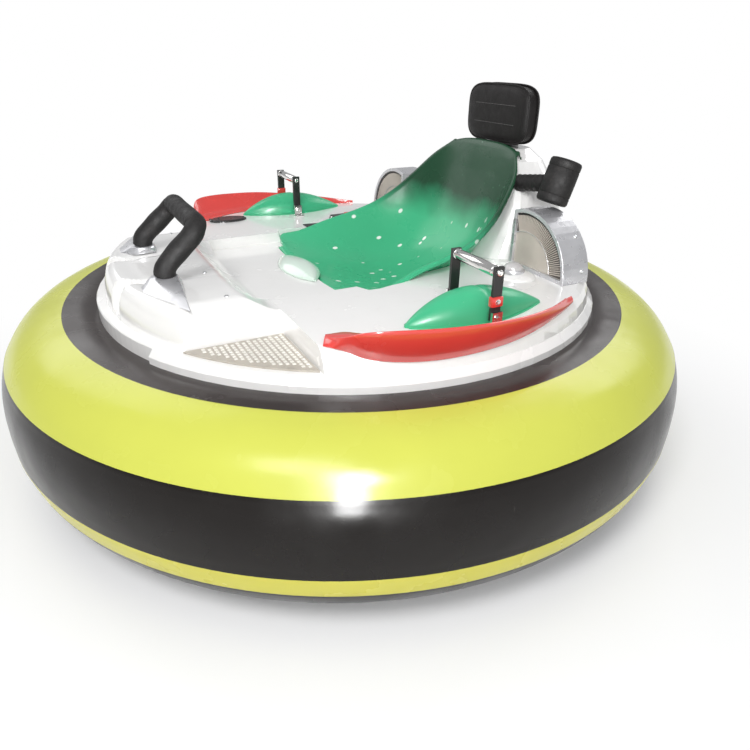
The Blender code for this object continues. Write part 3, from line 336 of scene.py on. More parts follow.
class Surface:
    """One node material: a Principled shader with mottled colour, mottled roughness and fine relief."""

    def __init__(
        self, name, colour, roughness, metallic=0.0, coat=0.0, coat_roughness=0.05, sheen=0.0, specular=0.5
    ):
        self.made = bpy.data.materials.new(name)
        self.made.use_nodes = True
        self.tree = self.made.node_tree
        self.shader = self.tree.nodes["Principled BSDF"]
        self.colour = (*colour, 1.0)
        self.roughness = roughness
        self.made.diffuse_color = self.colour
        for key, value in (
            ("Base Color", self.colour),
            ("Roughness", roughness),
            ("Metallic", metallic),
            ("Coat Weight", coat),
            ("Coat Roughness", coat_roughness),
            ("Sheen Weight", sheen),
            ("Specular IOR Level", specular),
        ):
            self.shader.inputs[key].default_value = value
        self.place = self.node("ShaderNodeTexCoord").outputs["Object"]
        self.colour_out = None
        self.bump_out = None

    def node(self, kind, **values):
        made = self.tree.nodes.new(kind)
        for key, value in values.items():
            if key in made.inputs:
                made.inputs[key].default_value = value
            else:
                setattr(made, key, value)
        return made

    def join(self, output, target):
        self.tree.links.new(output, target)

    def stretched(self, scale):
        """The place in the object, scaled by a factor for each axis."""
        made = self.node("ShaderNodeMapping", Scale=scale)
        self.join(self.place, made.inputs["Vector"])
        return made.outputs["Vector"]

    def noise(self, scale, detail=3.0, roughness=0.5, place=None):
        made = self.node("ShaderNodeTexNoise", Scale=scale, Detail=detail, Roughness=roughness)
        self.join(place or self.place, made.inputs["Vector"])
        return made.outputs["Fac"]

    def cells(self, scale, feature="DISTANCE_TO_EDGE", place=None):
        made = self.node("ShaderNodeTexVoronoi", Scale=scale, feature=feature)
        self.join(place or self.place, made.inputs["Vector"])
        return made.outputs["Distance"]

    def ramp(self, value, *stops, smooth=True):
        """Maps a value through (position, colour) stops."""
        made = self.node("ShaderNodeValToRGB")
        band = made.color_ramp
        band.interpolation = "LINEAR" if smooth else "CONSTANT"
        while len(band.elements) > 1:
            band.elements.remove(band.elements[-1])
        for index, (position, colour) in enumerate(stops):
            element = band.elements[0] if index == 0 else band.elements.new(position)
            element.position = position
            element.color = (*colour, 1.0)
        self.join(value, made.inputs["Fac"])
        return made.outputs["Color"]

    def map_range(self, value, low, high, to_low=0.0, to_high=1.0):
        limits = {"From Min": low, "From Max": high, "To Min": to_low, "To Max": to_high}
        made = self.node("ShaderNodeMapRange", **limits)
        self.join(value, made.inputs["Value"])
        return made.outputs["Result"]

    def math(self, operation, *values):
        """A math node. Each value is a number or an output."""
        made = self.node("ShaderNodeMath", operation=operation)
        for slot, value in zip(made.inputs, values):
            if isinstance(value, (int, float)):
                slot.default_value = value
            else:
                self.join(value, slot)
        return made.outputs["Value"]

    def mix(self, factor, first, second, blend="MIX"):
        made = self.node("ShaderNodeMix", data_type="RGBA", blend_type=blend)
        for key, value in (("Factor", factor), ("A", first), ("B", second)):
            kind = "VALUE" if key == "Factor" else "RGBA"
            slot = next(s for s in made.inputs if s.name == key and s.type == kind)
            if hasattr(value, "is_linked"):
                self.join(value, slot)
            else:
                slot.default_value = value
        return next(s for s in made.outputs if s.type == "RGBA")

    def tint(self, factor, colour):
        """Mixes a colour over what is there, by a factor output."""
        self.colour_out = self.mix(factor, self.colour_out or self.colour, (*colour, 1.0))
        return self

    def stain(self, colour, share, scale, detail, roughness, start, full):
        """Patches of another colour, where a noise passes start, at their strongest from full on."""
        noise = self.noise(scale, detail, roughness)
        return self.tint(self.ramp(noise, (start, BLACK), (full, (share,) * 3)), colour)

    def mottle(self, scale, amount):
        """Slight light and dark patches in the colour."""
        patch = self.ramp(self.noise(scale), (0.3, (1 - amount,) * 3), (0.7, (min(1.0, 1 + amount),) * 3))
        self.colour_out = self.mix(1.0, self.colour_out or self.colour, patch, "MULTIPLY")
        return self

    def smudge(self, scale, amount):
        """Patches of higher and lower roughness."""
        low, high = max(0.02, self.roughness - amount), min(1.0, self.roughness + amount)
        self.join(self.map_range(self.noise(scale, 4.0), 0.3, 0.7, low, high), self.shader.inputs["Roughness"])
        return self

    def relief(self, height, depth):
        """Adds a bump from a height output, depth metres deep."""
        made = self.node("ShaderNodeBump", Strength=1.0, Distance=depth)
        self.join(height, made.inputs["Height"])
        if self.bump_out is not None:
            self.join(self.bump_out, made.inputs["Normal"])
        self.bump_out = made.outputs["Normal"]
        return self

    def done(self):
        if self.colour_out is not None:
            self.join(self.colour_out, self.shader.inputs["Base Color"])
        if self.bump_out is not None:
            self.join(self.bump_out, self.shader.inputs["Normal"])
        return self.made


def gelcoat(name, colour, mottle=0.03, ripple=0.0006):
    """Polished moulded fibreglass: a clear gloss over a faintly uneven colour, with long soft ripples."""
    made = Surface(name, colour, 0.24, coat=0.7, coat_roughness=0.06)
    made.mottle(5.0, mottle).smudge(9.0, 0.06)
    return made.relief(made.noise(14.0, 2.0), ripple).relief(made.noise(420.0, 2.0), 0.00004)


def white_gelcoat():
    """White gelcoat with faint grime."""
    made = gelcoat("white_gelcoat", (0.90, 0.89, 0.875), 0.015)
    return made.stain((0.70, 0.65, 0.58), 0.20, 26.0, 6.0, 0.65, 0.60, 0.80).done()


def green_gelcoat(name="green_gelcoat", seat=False):
    """Green gelcoat with chips. The seat's has painted shade that darkens the top of its back, and small white flecks
    of painted highlight below it.
    """
    made = Surface(name, (0.058, 0.49, 0.245), 0.30, coat=0.10, coat_roughness=0.10, specular=0.28)
    made.mottle(5.0, 0.07).smudge(9.0, 0.06)
    if seat:
        # Painted shade: the colour darkens with height towards the top of the seat back.
        height = made.node("ShaderNodeSeparateXYZ")
        made.join(made.place, height.inputs["Vector"])
        uneven = made.math("MULTIPLY_ADD", made.noise(9.0), 0.07, height.outputs["Z"])
        share = made.map_range(uneven, 0.615, 0.705)
        made.tint(share, (0.012, 0.062, 0.028))
        # Painted highlights: small white flecks scattered below the painted shade.
        painted_glint_cells = made.cells(29.0, "F1", made.stretched((1.0, 0.62, 0.62)))
        spot = made.ramp(painted_glint_cells, (0.13, WHITE), (0.18, BLACK))
        chosen = made.ramp(painted_glint_cells.node.outputs["Color"], (0.52, BLACK), (0.54, WHITE))
        fade = made.ramp(share, (0.0, WHITE), (0.7, BLACK))
        made.tint(made.math("MULTIPLY", made.math("MULTIPLY", spot, chosen), fade), (0.90, 0.94, 0.88))
    made.relief(made.noise(14.0, 2.0), 0.0014).relief(made.noise(420.0, 2.0), 0.00004)
    return made.stain((0.30, 0.62, 0.42), 0.35, 90.0, 4.0, 0.6, 0.70, 0.74).done()


def tube_vinyl():
    """Inflated vinyl with bands of colour, by the angle round the tube's section."""
    made = Surface("tube_vinyl", (0.02, 0.018, 0.018), 0.25, specular=0.24)
    parts = made.node("ShaderNodeSeparateXYZ")
    made.join(made.place, parts.inputs["Vector"])
    level = made.node("ShaderNodeCombineXYZ")
    for axis in "XY":
        made.join(parts.outputs[axis], level.inputs[axis])
    radius = made.node("ShaderNodeVectorMath", operation="LENGTH")
    made.join(level.outputs["Vector"], radius.inputs[0])
    out = made.math("SUBTRACT", radius.outputs["Value"], TUBE_MAJOR)
    up = made.math("SUBTRACT", parts.outputs["Z"], TUBE_CENTRE_Z)
    turn = made.math("MULTIPLY_ADD", made.math("ARCTAN2", up, out), 0.5 / math.pi, 0.5)
    black, amber = (0.009, 0.007, 0.006), (0.64, 0.60, 0.09)
    lime, dull = (0.60, 0.63, 0.100), (0.032, 0.024, 0.022)
    starts = [0.0] + [0.5 + d / 360.0 for d in STRIPE_DEGREES]
    made.colour_out = made.ramp(turn, *zip(starts, (black, amber, black, lime, dull)), smooth=False)
    made.mottle(4.0, 0.05).stain((0.35, 0.33, 0.30), 0.10, 60.0, 8.0, 0.7, 0.66, 0.80).smudge(7.0, 0.07)
    return made.relief(made.noise(5.0, 2.0), 0.0035).relief(made.noise(240.0), 0.00008).done()


def leather():
    made = Surface("black_vinyl", (0.011, 0.009, 0.009), 0.48, specular=0.22)
    made.mottle(30.0, 0.25).smudge(40.0, 0.10)
    return made.relief(made.cells(520.0), 0.0005).relief(made.noise(70.0), 0.0007).done()


def foam():
    """Closed-cell foam sleeve, its skin worn dull and pitted."""
    made = Surface("black_foam", (0.010, 0.009, 0.009), 0.62, specular=0.25)
    made.stain((0.040, 0.035, 0.033), 0.55, 38.0, 6.0, 0.7, 0.52, 0.72).smudge(50.0, 0.12)
    return made.relief(made.noise(700.0, 4.0, 0.7), 0.0006).relief(made.noise(60.0), 0.0012).done()


def plastic(name, colour, roughness=0.4, grain=0.00008):
    made = Surface(name, colour, roughness)
    made.mottle(20.0, 0.10).smudge(30.0, 0.08)
    return made.relief(made.noise(600.0, 2.0), grain).done()


def chrome():
    made = Surface("chrome", (0.80, 0.79, 0.77), 0.14, metallic=1.0)
    made.mottle(60.0, 0.10).smudge(45.0, 0.08)
    return made.relief(made.noise(160.0, 4.0, 0.6, made.stretched((1.0, 1.0, 0.1))), 0.00005).done()


def plated(name, colour):
    """Dull zinc plating with a cloudy crystal pattern."""
    made = Surface(name, colour, 0.34, metallic=0.9)
    made.mottle(55.0, 0.16).smudge(70.0, 0.12)
    made.stain((0.16, 0.13, 0.10), 0.5, 24.0, 6.0, 0.7, 0.50, 0.75)
    return made.relief(made.cells(180.0, "F1"), 0.00005).done()


def enamel(name, colour, roughness=0.42, metallic=0.0, rust=0.0):
    """Painted metal with a slight orange peel and, where asked, rust in patches."""
    made = Surface(name, colour, roughness, metallic=metallic, coat=0.2, coat_roughness=0.2)
    made.mottle(12.0, 0.12).smudge(25.0, 0.10)
    if rust:
        made.stain((0.20, 0.085, 0.035), rust, 32.0, 8.0, 0.75, 0.60, 0.72)
    return made.relief(made.noise(260.0, 2.0), 0.00012).done()


def rubber():
    """Tyre rubber with dust."""
    made = Surface("tyre_rubber", (0.028, 0.027, 0.027), 0.82, sheen=0.1)
    made.stain((0.15, 0.135, 0.115), 0.45, 40.0, 7.0, 0.7, 0.48, 0.75).smudge(60.0, 0.08)
    return made.relief(made.noise(500.0), 0.00025).done()


def tread():
    """Foot plate plastic with trodden-in dirt."""
    made = Surface("tread_plate", (0.47, 0.43, 0.37), 0.50)
    made.mottle(35.0, 0.08).smudge(40.0, 0.10)
    made.stain((0.30, 0.25, 0.20), 0.55, 45.0, 6.0, 0.7, 0.50, 0.75)
    return made.relief(made.noise(420.0), 0.00012).done()


def lens():
    made = Surface("lamp_lens", (0.62, 0.60, 0.60), 0.16, coat=0.8, coat_roughness=0.04)
    made.mottle(50.0, 0.10)
    return made.relief(made.cells(240.0, "F1"), 0.0006).done()


MATERIALS = {
    "white_gelcoat": white_gelcoat(),
    "green_gelcoat": green_gelcoat(),
    "pale_gelcoat": gelcoat("pale_gelcoat", (0.70, 0.84, 0.74)).done(),
    "red_gelcoat": gelcoat("red_gelcoat", (0.78, 0.055, 0.045), 0.06, 0.0010).done(),
    "tube_vinyl": tube_vinyl(),
    "black_vinyl": leather(),
    "black_foam": foam(),
    "black_plastic": plastic("black_plastic", (0.022, 0.021, 0.022), 0.34),
    "chrome": chrome(),
    "black_steel": enamel("black_steel", (0.020, 0.019, 0.019), 0.32, 0.2),
    "silver_paint": enamel("silver_paint", (0.62, 0.62, 0.64), 0.30, 0.55),
    "grille_grey": plastic("grille_grey", (0.56, 0.51, 0.45), 0.45),
    "tread_plate": tread(),
    "lamp_lens": lens(),
    "battery_case": plastic("battery_case", (0.035, 0.042, 0.055), 0.45, 0.0002),
    "motor_paint": enamel("motor_paint", (0.14, 0.15, 0.16), 0.40, 0.3),
    "zinc_plate": plated("zinc_plate", (0.60, 0.61, 0.62)),
    "frame_steel": enamel("frame_steel", (0.075, 0.080, 0.085), 0.48, 0.3, rust=0.55),
    "tyre_rubber": rubber(),
}
BUTTON_RED = plastic("button_red", (0.72, 0.045, 0.04), 0.28)
BELT_WEB = plastic("belt_web", (0.030, 0.029, 0.031), 0.75, 0.0004)
# The seat's material, with painted shade at the top of its back and painted highlights below it.
SEAT_GELCOAT = green_gelcoat("seat_gelcoat", seat=True)
# A shaded copy of the grille's grey, used as painted shade behind the louvres.
LOUVRE_SHADE = plastic("louvre_shade", (0.070, 0.058, 0.050), 0.7)
STUD_PLASTIC = plastic("stud_plastic", (0.80, 0.775, 0.72), 0.42)
# A dark material that stands for painted shade in gaps and recesses.
GAP_PAINTED_SHADE = plastic("gap_painted_shade", (0.035, 0.030, 0.028), 0.60)


def dress_cad_nodes():
    """Every node keeps its record slot's material unless a piece replaces it."""
    for row in frame["record"]["subparts"]:
        obj = NODES[row["node"]]
        obj.data.materials.clear()
        obj.data.materials.append(MATERIALS[row["material_slot"]])


# ---------------------------------------------------------------- ring bumper


def section_point(angle, offset=0.0):
    """A point (radius, height) of the tube's section, at a polar parameter angle."""
    c, s = math.cos(angle), math.sin(angle)
    radial = math.copysign(abs(c) ** TUBE_POWER, c) * (TUBE_HALF_WIDTH + offset)
    height = math.copysign(abs(s) ** TUBE_POWER, s) * (TUBE_HALF_HEIGHT + offset)
    return TUBE_MAJOR + radial, TUBE_CENTRE_Z + height


def build_ring():
    """The inflated ring, with a welded bead where the bands of vinyl meet."""
    section = []
    for a in circle(120):
        r, z = section_point(a)
        seen = math.degrees(math.atan2(z - TUBE_CENTRE_Z, r - TUBE_MAJOR))
        bead = sum(bump(seen - d, BEAD_DEGREES) for d in STRIPE_DEGREES)
        section.append(section_point(a, BEAD_HEIGHT * min(1.0, bead)))
    bm = bmesh.new()
    add_grid(bm, [[(r * math.cos(a), r * math.sin(a), z) for r, z in section] for a in circle(192)], True, True)
    ring = add_piece("ring_bumper", bm, "tube_vinyl", "bumper_tube", degrees=60.0)


def build_valve():
    """The ring's air valve with its screw cap, on the top band behind the seat."""
    r, z = section_point(math.radians(VALVE_DEGREES))
    place = Matrix.Translation((0.0, r, z - 0.002))
    flange = [(0, 0), (0.026, 0), (0.026, 0.002), (0.020, 0.0035), (0.013, 0.004), (0.013, 0.010), (0, 0.010)]
    cap = [(0, 0.009), (0.0105, 0.009), (0.0115, 0.010), (0.0115, 0.016), (0.0100, 0.0175), (0, 0.0175)]
    bm = bmesh.new()
    add_lathe(bm, flange, 32, place)
    add_lathe(bm, cap, 24, place)
    add_piece("air_valve", bm, "black_plastic")


# ---------------------------------------------------------------- body mouldings


def build_rim_trim():
    """A dark ring under the body's flange: painted shade for the gap between the flange and the tube."""
    section = [(-0.002, -0.006), (0.004, -0.006), (0.006, -0.001), (0.0035, 0.003), (-0.002, 0.003)]
    bm = bmesh.new()
    add_lathe(bm, [(RIM_RADIUS + out, FLANGE_Z + up) for out, up in section], 144)
    add_piece("rim_gap_shade", bm, "black_plastic", material=GAP_PAINTED_SHADE)


def console_height(x, y):
    """Height of the moulded nose: flat where the grab bar stands, rounded at its edges, notched in front."""
    wall = 0.034
    to_front = CONSOLE_RADIUS - math.hypot(x, y)
    to_side = (CONSOLE_HALF - abs(x)) / 2.2
    edge = min(to_front, to_side)
    drop = 0.0
    if edge < wall:
        drop = (CONSOLE_Z - DECK_Z) * (1.0 - math.sqrt(max(0.0, 1.0 - (1.0 - edge / wall) ** 2.4)))
    back_level = PLATEAU_Z - 0.030 * (1.0 - smooth_step(abs(x), 0.21, 0.29))
    slope = 1.0 - smooth_step(CONSOLE_HIGH.y - y, 0.0, 0.085)
    drop = max(drop, slope * (CONSOLE_Z - back_level))
    for centre in (-NOTCH_X, NOTCH_X):
        half = 0.030 * max(0.0, 1.0 - to_front / NOTCH_DEPTH)
        inside = 1.0 - smooth_step(abs(x - centre), half * 0.75, half + 0.007)
        fade = 1.0 - smooth_step(to_front, NOTCH_DEPTH * 0.8, NOTCH_DEPTH * 1.15)
        drop = max(drop, inside * fade * (CONSOLE_Z - DECK_Z - 0.012))
        drop += 0.006 * bump(x - centre * (1 + 0.9 * to_front), 0.012) * (1.0 - smooth_step(to_front, 0.06, 0.22))
    crown = math.cos(min(1.0, abs(abs(x) - 0.235) / 0.11) * math.pi / 2)
    return CONSOLE_Z - drop + 0.004 * (crown - 1.0) * (1.0 - slope) * smooth_step(edge, 0.03, 0.08)


def build_console():
    """The moulded nose between the foot plates."""
    back_y = CONSOLE_HIGH.y
    shares = np.linspace(0.0, 1.0, 110) ** 0.8
    top = []
    for x in np.linspace(-CONSOLE_HALF, CONSOLE_HALF, 186):
        depth = math.sqrt(CONSOLE_RADIUS**2 - x**2) + back_y
        top.append([(x, back_y - depth * s, console_height(x, back_y - depth * s)) for s in shares])
    bm = bmesh.new()
    grid = add_grid(bm, top)
    outline = [row[0] for row in grid] + grid[-1][1:] + [row[-1] for row in reversed(grid[:-1])]
    outline += list(reversed(grid[0][1:-1]))
    foot = [bm.verts.new((v.co.x, v.co.y, CONSOLE_LOW.z)) for v in outline]
    for i in range(len(outline)):
        j = (i + 1) % len(outline)
        bm.faces.new((outline[i], outline[j], foot[j], foot[i]))
    bm.faces.new(foot)
    add_piece("console_moulding", bm, "white_gelcoat", "front_console", degrees=50.0)
    # Dark blocks in the notches: painted shade of the recesses.
    bm = bmesh.new()
    for x in (-NOTCH_X, NOTCH_X):
        y = -math.sqrt(CONSOLE_RADIUS**2 - x**2) + NOTCH_DEPTH * 0.42
        add_box(bm, (x - 0.013, y - 0.016, DECK_Z + 0.004), (x + 0.013, y + 0.016, DECK_Z + 0.020))
    add_piece("console_notch_shade", bm, "black_plastic", material=GAP_PAINTED_SHADE)
    bm = bmesh.new()
    for x, y in ((0.100, -0.440), (-0.100, -0.440), (0.300, -0.440), (-0.300, -0.440)):
        add_screw(bm, (x, y, console_height(x, y) - 0.0005), (0, 0, 1), 0.005)
    add_piece("console_screws", bm, "zinc_plate")


def build_fairings():
    """Wedges that close the feet of the grab bar. Their grey silver paint is painted shade, standing for a shaded face
    of the white moulding.
    """
    low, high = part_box("left_grab_bar_socket")
    centre = (low + high) / 2
    base = [(-0.030, -0.022), (0.010, -0.058), (0.052, -0.058), (0.205, 0.012), (0.016, 0.038), (-0.024, 0.030)]
    points = [(x, y, -0.002) for x, y in base]
    for lift, size in ((0.012, 0.034), (0.0165, 0.031)):
        points += [(size * math.cos(a), size * math.sin(a), lift) for a in circle(28)]
    for name, side in SIDES:
        bm = bmesh.new()
        for x, y, z in points:
            bm.verts.new((side * (centre.x + x), centre.y + y, low.z + z))
        bmesh.ops.convex_hull(bm, input=bm.verts)
        bmesh.ops.delete(bm, geom=[v for v in bm.verts if not v.link_faces], context="VERTS")
        # The grey silver paint here is painted shade on what is a white moulding.
        piece = add_piece(f"{name}_bar_fairing", bm, "silver_paint", f"{name}_grab_bar_socket", degrees=25.0)
        add_bevel(piece, 0.002, 2, 30.0)


def build_grab_bar():
    """The foam sleeve over the hoop, slightly uneven along its length."""
    low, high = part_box("grab_bar")
    foot_y, top_y = low.y + GRAB_RADIUS, high.y - GRAB_RADIUS
    foot_z, top_z = low.z + 0.0015, high.z - GRAB_RADIUS
    half_span = (high.x - GRAB_RADIUS) / GRAB_KNOTS[0][0]
    knots = [
        (half_span * x, foot_y + (top_y - foot_y) * back, foot_z + (top_z - foot_z) * lift)
        for x, lift, back in GRAB_KNOTS + [(-x, lift, back) for x, lift, back in reversed(GRAB_KNOTS[:-1])]
    ]
    path = smooth_path(knots, 121)
    swell = [GRAB_RADIUS * (1.0 + 0.035 * math.sin(0.37 * i) * math.sin(0.11 * i)) for i in range(len(path))]
    swell[0] = swell[-1] = GRAB_RADIUS * 0.93
    bm = bmesh.new()
    add_pipe(bm, path, swell, 28)
    bar = add_piece("foam_grab_bar", bm, "black_foam", "grab_bar", degrees=50.0)


def build_tread_plates():
    """Foot plates covered in small square studs, in rows that are offset by half a pitch."""
    pitch, stud, height, margin = 0.0125, 0.0080, 0.0018, 0.010
    corners = ((-1, -1), (1, -1), (1, 1), (-1, 1))
    for name, side in SIDES:
        low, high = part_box(f"{name}_tread_plate")
        radius = math.hypot(max(abs(low.x), abs(high.x)), high.y)
        inner = min(abs(low.x), abs(high.x))
        bm = bmesh.new()
        for i in range(int((radius - inner) / pitch) + 1):
            for j in range(int((high.y - low.y) / pitch) + 1):
                x = inner + margin + pitch * i + (pitch / 2 if j % 2 else 0.0)
                y = high.y - margin - pitch * j
                if math.hypot(x + stud / 2, y - stud / 2) > radius - margin:
                    continue
                add_skin(
                    bm,
                    [
                        [(side * x + dx * half, y + dy * half, high.z + lift) for dx, dy in corners]
                        for half, lift in ((stud / 2, -0.0004), (stud / 3, height))
                    ],
                )
        add_piece(f"{name}_tread_studs", bm, "tread_plate", degrees=20.0, material=STUD_PLASTIC)


# ---------------------------------------------------------------- seat and guards


def seat_point(half, rim_y, rim_z, mid_y, mid_z, u, along):
    """A point of the seat, u from -1 to 1 across it. Near its front it dips under each thigh."""
    lift = abs(u) ** 3.0
    x = half * u
    dip = 0.010 * bump(abs(x) - 0.14, 0.06) * max(0.0, 1.0 - along / 0.35) ** 1.5
    return Vector((x, mid_y + (rim_y - mid_y) * lift, mid_z + (rim_z - mid_z) * lift - dip))


def build_seat():
    """The moulded bucket, with a rolled lip all round."""
    rows = 73
    stations = smooth_path(SEAT_STATIONS, rows)
    spread = [math.copysign(abs(t) ** 0.85, t) for t in np.linspace(-1.0, 1.0, 57)]
    grid = []
    for i, station in enumerate(stations):
        row = [seat_point(*station, u, i / (rows - 1)) for u in spread]
        left = [row[0] + Vector((-out, 0, up)) for out, up in reversed(SEAT_LIP)]
        right = [row[-1] + Vector((out, 0, up)) for out, up in SEAT_LIP]
        grid.append(left + row + right)
    front = [[p + Vector((0, -out, up)) for p in grid[0]] for out, up in reversed(SEAT_LIP)]
    back = [[p + Vector((0, out * 0.9, up + out * 0.35)) for p in grid[-1]] for out, up in SEAT_LIP]
    bm = bmesh.new()
    add_grid(bm, front + grid + back)
    thicken(add_piece("seat_shell", bm, "green_gelcoat", "seat_bucket", degrees=60.0, material=SEAT_GELCOAT), 0.0045)


def shoulder_point(share, out):
    """A point (radius, height) on the body's shoulder, share of the way down it."""
    steps = np.linspace(0.0, 1.0, len(SHOULDER))
    r, z = (float(np.interp(share, steps, [point[k] for point in SHOULDER])) for k in (0, 1))
    return FLAT_RADIUS + r + out, PLATEAU_Z + z


def guard_section(inset, lean, rise, down):
    """The outline (radius, height) of a guard: over its top, out to its crest, and back down the shoulder."""
    floor_z = PLATEAU_Z + 0.0009
    top_z = floor_z + 0.0025
    inner = FLAT_RADIUS - inset
    crest = max(FLAT_RADIUS + lean, inner + 0.010)
    heel = min(FLAT_RADIUS + 0.006, crest - 0.006)
    crest_z = top_z + max(0.0, rise)
    down = max(down, 0.03)
    section = [(inner, floor_z), (inner, top_z - 0.0006), (inner + 0.0008, top_z)]
    section += [(inner + (heel - inner) * t, top_z) for t in (0.3, 0.6, 0.9)]
    for t in np.linspace(0.15, 1.0, 8):
        section.append((heel + (crest - 0.004 - heel) * t, top_z + (crest_z - top_z) * t**1.25))
    section += [(crest - 0.002, crest_z + 0.0005), (crest - 0.0004, crest_z - 0.0002), (crest, crest_z - 0.0015)]
    edge_r, edge_z = shoulder_point(down, 0.0024)
    lip_z = crest_z - 0.0015
    for t in np.linspace(0.12, 1.0, 9):
        bulge = 0.0035 * math.sin(math.pi * t)
        section.append((crest + (edge_r - crest) * t + bulge, lip_z + (edge_z - lip_z) * t))
    section += [shoulder_point(down * share, 0.0004) for share in (1.0, 0.66, 0.33)]
    return section + [(FLAT_RADIUS - 0.5 * max(inset, 0.004), floor_z)]


def build_guards():
    """The red side guards: a smooth wing that rises and leans out over the shoulder, drawn out to a point."""
    stations = smooth_path(GUARD_STATIONS, 145)
    reach = 9
    kernel = np.exp(-0.5 * (np.arange(-reach, reach + 1) / 4.5) ** 2)
    kernel /= kernel.sum()
    for column in range(1, stations.shape[1]):
        padded = np.pad(stations[:, column], reach, mode="edge")
        stations[:, column] = np.convolve(padded, kernel, mode="valid")
    for name, side in SIDES:
        rows = []
        for angle, *shape in stations:
            a = math.radians(angle)
            rows.append([(side * r * math.cos(a), r * math.sin(a), z) for r, z in guard_section(*shape)])
        bm = bmesh.new()
        add_skin(bm, rows)
        add_piece(f"{name}_guard", bm, "red_gelcoat", f"{name}_red_panel")


def build_pommel():
    """The pale leaf that lies crosswise over the seat's front edge."""
    low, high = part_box("seat_pommel")
    half_length, half_depth = (high.x - low.x) / 2, (high.y - low.y) / 2
    middle = (low + high) / 2
    tip_half, tip_rise = 0.0015, 0.0045
    top = []
    for share in np.linspace(-1.0, 1.0, 57):
        swell = max(0.0, 1.0 - abs(share) ** 1.9) ** 0.9
        half = tip_half + (half_depth - tip_half) * swell
        rise = tip_rise + (high.z - low.z - tip_rise) * swell
        x, y = middle.x + half_length * share, middle.y - 0.006 * share**2
        crests = [(u, rise * (1.0 - abs(u) ** 2.4) + 0.0015) for u in np.linspace(-1.0, 1.0, 25)]
        top.append([(x, y + half * u, low.z + crest) for u, crest in crests])
    bm = bmesh.new()
    add_grid(bm, top)
    thicken(add_piece("seat_leaf", bm, "pale_gelcoat", "seat_pommel", degrees=60.0), 0.0035)


# ---------------------------------------------------------------- headrest and roll


def build_headrest():
    """A crowned cushion in stitched vinyl, with piping round its front and back faces."""
    centre = (REST_LOW + REST_HIGH) / 2
    half_x, half_y, half_z = (REST_HIGH - REST_LOW) / 2 - Vector((0.003, 0.0, 0.003))
    corner = 2 / 4.2

    def outline(shrink):
        """Points (x, z) of a rounded rectangle about the middle."""
        points = []
        for a in circle(96):
            c, s = math.cos(a), math.sin(a)
            across_x = math.copysign(abs(c) ** corner, c)
            points.append(((half_x - shrink) * across_x, (half_z - shrink) * math.copysign(abs(s) ** corner, s)))
        return points

    rings = []
    for depth, shrink in REST_LEVELS:
        ring = []
        for k, (x, z) in enumerate(outline(shrink)):
            pucker = 0.0007 * math.sin(k * 2.1) * bump(abs(depth) - 0.56, 0.25)
            bow = 1.0 - 0.022 * (1.0 - (x / half_x) ** 2) * (abs(z) / half_z) ** 3
            ring.append((centre.x + x * (1 + pucker), centre.y + depth * half_y, centre.z + z * (bow + pucker)))
        rings.append(ring)
    bm = bmesh.new()
    verts = add_grid(bm, rings, False, True)
    for ring, crease_depth in ((verts[0], 0.0028), (verts[-1], 0.0)):
        previous = ring
        for share in (0.75, 0.5, 0.25):
            inner = []
            for v in ring:
                x, z = (v.co.x - centre.x) * share, (v.co.z - centre.z) * share
                crease = crease_depth * bump(abs(z) - SEAM_RISE, 0.004)
                inner.append(bm.verts.new((centre.x + x, ring[0].co.y - crease, centre.z + z)))
            for i in range(len(ring)):
                j = (i + 1) % len(ring)
                bm.faces.new((previous[i], previous[j], inner[j], inner[i]))
            previous = inner
        bm.faces.new(previous)
    pad = add_piece("headrest_cushion", bm, "black_vinyl", "headrest_pad", degrees=60.0)
    for name, depth in (("front", -0.60), ("back", 0.60)):
        path = [Vector((centre.x + x, centre.y + depth * half_y, centre.z + z)) for x, z in outline(-0.0012)]
        rings = []
        for k, point in enumerate(path):
            tangent = (path[(k + 1) % len(path)] - path[k - 1]).normalized()
            side = Vector((0, 1, 0))
            other = tangent.cross(side).normalized()
            rings.append([point + 0.0026 * (math.cos(a) * side + math.sin(a) * other) for a in circle(8)])
        bm = bmesh.new()
        add_grid(bm, rings, True, True)
        add_piece(f"headrest_piping_{name}", bm, "black_vinyl", degrees=60.0)
    bm = bmesh.new()
    y = REST_LOW.y - 0.0002
    for z in (centre.z - SEAM_RISE, centre.z + SEAM_RISE):
        for x in centre.x + np.linspace(-0.5, 0.5, 26) * 1.30 * half_x:
            add_pipe(bm, [(x - 0.0026, y + 0.001, z), (x, y - 0.0003, z), (x + 0.0026, y + 0.001, z)], 0.0006, 6)
    add_piece("headrest_stitches", bm, "black_vinyl", material=plastic("thread", (0.16, 0.15, 0.15), 0.7))


def build_roll():
    """The foam roll beside the seat back, with dished ends and a moulding seam, and its padded arm."""
    centre = Vector(np.mean([v.co for v in NODES["left_shoulder_roll"].data.vertices], axis=0))
    tilt = Vector((0.0, 0.33, 0.94)).normalized()
    radius, length = 0.0415, 0.112
    half = [(0, 0.004), (0.012, 0.004), (0.028, 0.0015), (0.034, 0.0), (0.0385, 0.0012), (radius, 0.006)]
    half += [(radius, 0.020), (radius - 0.0014, 0.022), (radius, 0.024)]
    bm = bmesh.new()
    outline = half + [(radius + 0.0004, length / 2)] + flipped(half, length)
    add_lathe(bm, outline, 48, across(tilt, centre - tilt * length / 2))
    roll = add_piece("left_foam_roll", bm, "black_foam", "left_shoulder_roll", degrees=50.0)
    start = centre + Vector((-0.147, -0.0045, -0.0257))
    end = centre - Vector((0.030, 0, 0.008))
    bm = bmesh.new()
    path = [start.lerp(end, t) for t in np.linspace(0.0, 1.0, 25)]
    add_pipe(bm, path, [0.0222 + 0.0010 * math.cos(1.6 * i) for i in range(len(path))], 28)
    sleeve = add_piece("left_arm_sleeve", bm, "black_foam", "left_shoulder_arm", degrees=60.0)


# ---------------------------------------------------------------- fans


